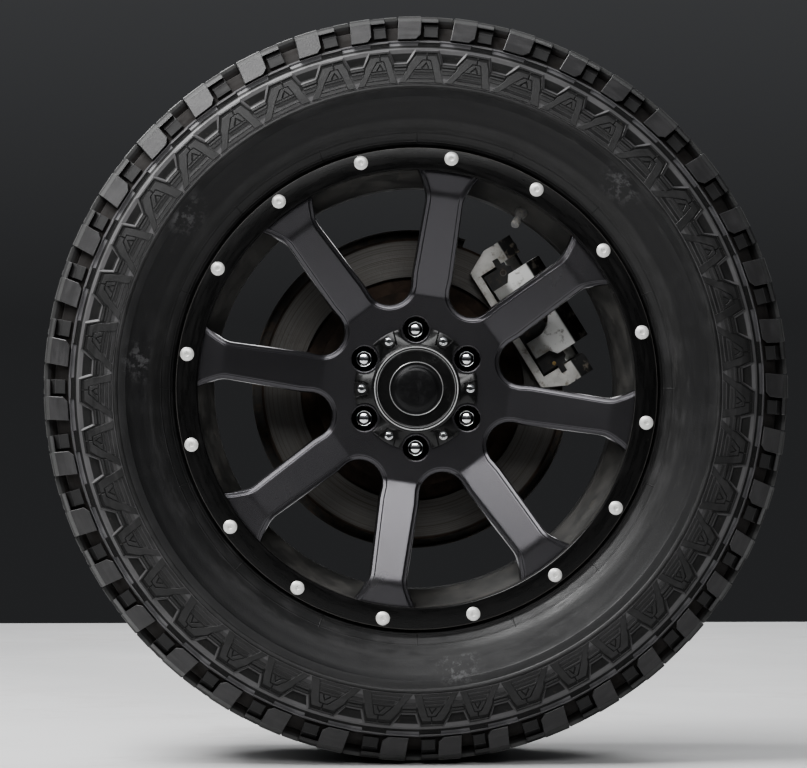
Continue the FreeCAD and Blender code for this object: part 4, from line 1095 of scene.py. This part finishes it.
finishes = {finish.__name__: finish() for finish in (
    tyre_rubber, wheel_paint, ring_paint, barrel_paint, nut_chrome, cap_plastic, badge_metal,
    disc_iron)}
bright_looks = [
    ("rivet_steel", (0.8, 0.8, 0.78), (0.55, 0.49, 0.42), 0.36, 0.5),
    ("piston_steel", (0.52, 0.51, 0.49), (0.2, 0.15, 0.11), 0.32, 0.8),
    ("bearing_steel", (0.46, 0.46, 0.45), (0.16, 0.12, 0.09), 0.3, 0.7)]
weathered_looks = [
    ("floor", grey(0.5), grey(0.56), (0.46, 0.455, 0.45), 1.2, 0.3, 0.55, 0),
    ("axle_paint", (0.02, 0.02, 0.021), (0.034, 0.033, 0.032), (0.1, 0.075, 0.052),
     24, 0.5, 0.55, 0),
    ("plain_iron", (0.12, 0.115, 0.11), (0.2, 0.19, 0.18), (0.12, 0.068, 0.042),
     30, 0.6, 0.5, 0.6),
    ("bolt_steel", (0.24, 0.23, 0.21), (0.34, 0.33, 0.31), (0.15, 0.09, 0.055),
     60, 0.5, 0.42, 0.7),
    ("shield_paint", (0.052, 0.05, 0.048), (0.085, 0.08, 0.074), (0.14, 0.11, 0.085),
     28, 0.5, 0.62, 0.1),
    # The bracket turns near black past 174 mm along the caliper: painted shade.
    ("bracket_iron", (0.58, 0.57, 0.54), (0.76, 0.75, 0.72), (0.3, 0.26, 0.21),
     36, 0.35, 0.55, 0.15, ((173.5, 175.5, grey(0.012)),)),
    # The caliper: whitish from about 158 mm along it as painted light, near black past 188 mm
    # as painted shade.
    ("caliper_alloy", (0.26, 0.26, 0.25), (0.34, 0.34, 0.33), (0.22, 0.2, 0.17),
     34, 0.35, 0.52, 0.15, ((153, 163, (0.88, 0.88, 0.86)), (187, 190, grey(0.012)))),
    ("lining", (0.055, 0.05, 0.046), (0.1, 0.088, 0.075), (0.13, 0.09, 0.06),
     70, 0.4, 0.85, 0),
    ("backing_paint", (0.016, 0.016, 0.017), (0.03, 0.029, 0.028), (0.09, 0.07, 0.05),
     50, 0.3, 0.55, 0),
    ("boot_rubber", grey(0.018), (0.038, 0.037, 0.036), (0.09, 0.078, 0.062),
     80, 0.3, 0.7, 0),
    ("valve_rubber", grey(0.1), (0.17, 0.17, 0.165), (0.24, 0.22, 0.19), 90, 0.4, 0.6, 0),
    ("brass_fitting", (0.42, 0.3, 0.12), (0.56, 0.42, 0.2), (0.18, 0.12, 0.06),
     120, 0.4, 0.36, 0.8)]
for make, rows in ((bright_steel, bright_looks), (weathered, weathered_looks)):
    for row in rows:
        finishes[row[0]] = make(*row)

# %% [markdown]
# Every piece takes the finish of its slot, and so does each CAD node that still shows.

# %% Give each piece its finish
node_finishes = {
    "axle_tube": "axle_paint", "wheel_bearing": "bearing_steel",
    "bearing_retainer": "plain_iron", "flange_bolts": "bolt_steel",
    "dust_shield": "shield_paint", "pad_linings": "lining", "pad_backings": "backing_paint",
    "caliper_piston": "piston_steel", "slide_pins": "bolt_steel", "pin_boots": "boot_rubber",
    "bleeder_screw": "brass_fitting", "axle_shaft": "plain_iron", "wheel_studs": "bolt_steel",
    "brake_disc": "disc_iron", "wheel_barrel": "barrel_paint"}
to_finish = [(nodes[name], finish) for name, finish in node_finishes.items()]
to_finish += [(piece, piece["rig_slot"]) for piece in bpy.data.objects
              if piece.type == "MESH" and "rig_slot" in piece]
for piece, finish in to_finish:
    piece.data.materials.clear()
    piece.data.materials.append(finishes[finish])
print("finishes:", len(finishes), "on", len(to_finish), "pieces")

# %% [markdown]
# ## Floor, light and camera
# The photograph was taken from about four and a half metres away, a little to the left of
# the axle and just below it, with a long lens. The camera stands at the same place.

# %% Stage
bpy.ops.object.select_all(action="DESELECT")
bpy.ops.mesh.primitive_plane_add(size=5, location=(0, 0, -0.4232))
floor = named("floor")
floor.data.materials.append(finishes["floor"])
bpy.ops.object.transform_apply(location=True)

camera_data = bpy.data.cameras.new("camera")
camera = bpy.data.objects.new("camera", camera_data)
bpy.context.collection.objects.link(camera)
camera.location = (-0.171, -4.877, -0.013)
camera.rotation_euler = (math.radians(90.23), 0, math.radians(-1.98))
camera_data.angle = math.radians(11.51)
camera_data.clip_end = 60
bpy.context.scene.camera = camera


def lamp(name, location, aim, width, height, power):
    """A soft panel of light that faces a point."""
    data = bpy.data.lights.new(name, "AREA")
    data.shape = "RECTANGLE"
    data.size, data.size_y = width, height
    data.energy = power
    light = bpy.data.objects.new(name, data)
    light.location = location
    light.rotation_euler = (Vector(aim) - Vector(location)).to_track_quat("-Z", "Y").to_euler()
    bpy.context.collection.objects.link(light)


lamp("key_panel", (-0.6, -4.3, 2.1), (0, -0.2, 0), 3.4, 1.3, 95)
lamp("front_panel", (0, -6.4, 2.0), (0, -0.3, 0), 6.0, 2.0, 5)
lamp("sky_panel", (-1.8, -0.7, 2.9), (0, -0.3, 0), 2.6, 2.0, 250)
lamp("left_panel", (-3.3, -0.8, 1.5), (0, -0.3, 0), 1.8, 1.8, 10)
lamp("right_panel", (3.6, -0.4, 1.4), (0, -0.2, 0), 1.4, 1.4, 5)
lamp("back_panel", (0.6, 2.6, 1.6), (0, 0.1, 0), 1.6, 1.6, 30)

world = bpy.data.worlds.new("studio")
world.use_nodes = True
sky = world.node_tree
background = sky.nodes["Background"]
background.inputs["Color"].default_value = (0.86, 0.88, 0.92, 1)
way = sky.nodes.new("ShaderNodeTexCoord")
parts = sky.nodes.new("ShaderNodeSeparateXYZ")
rise = sky.nodes.new("ShaderNodeMapRange")
for socket, value in (("From Min", 0.02), ("From Max", 0.95), ("To Min", 0.032),
                      ("To Max", 0.40)):
    rise.inputs[socket].default_value = value
sky.links.new(way.outputs["Generated"], parts.inputs[0])
sky.links.new(parts.outputs["Z"], rise.inputs["Value"])
sky.links.new(rise.outputs[0], background.inputs["Strength"])
bpy.context.scene.world = world
bpy.context.scene.view_settings.look = "AgX - Medium High Contrast"
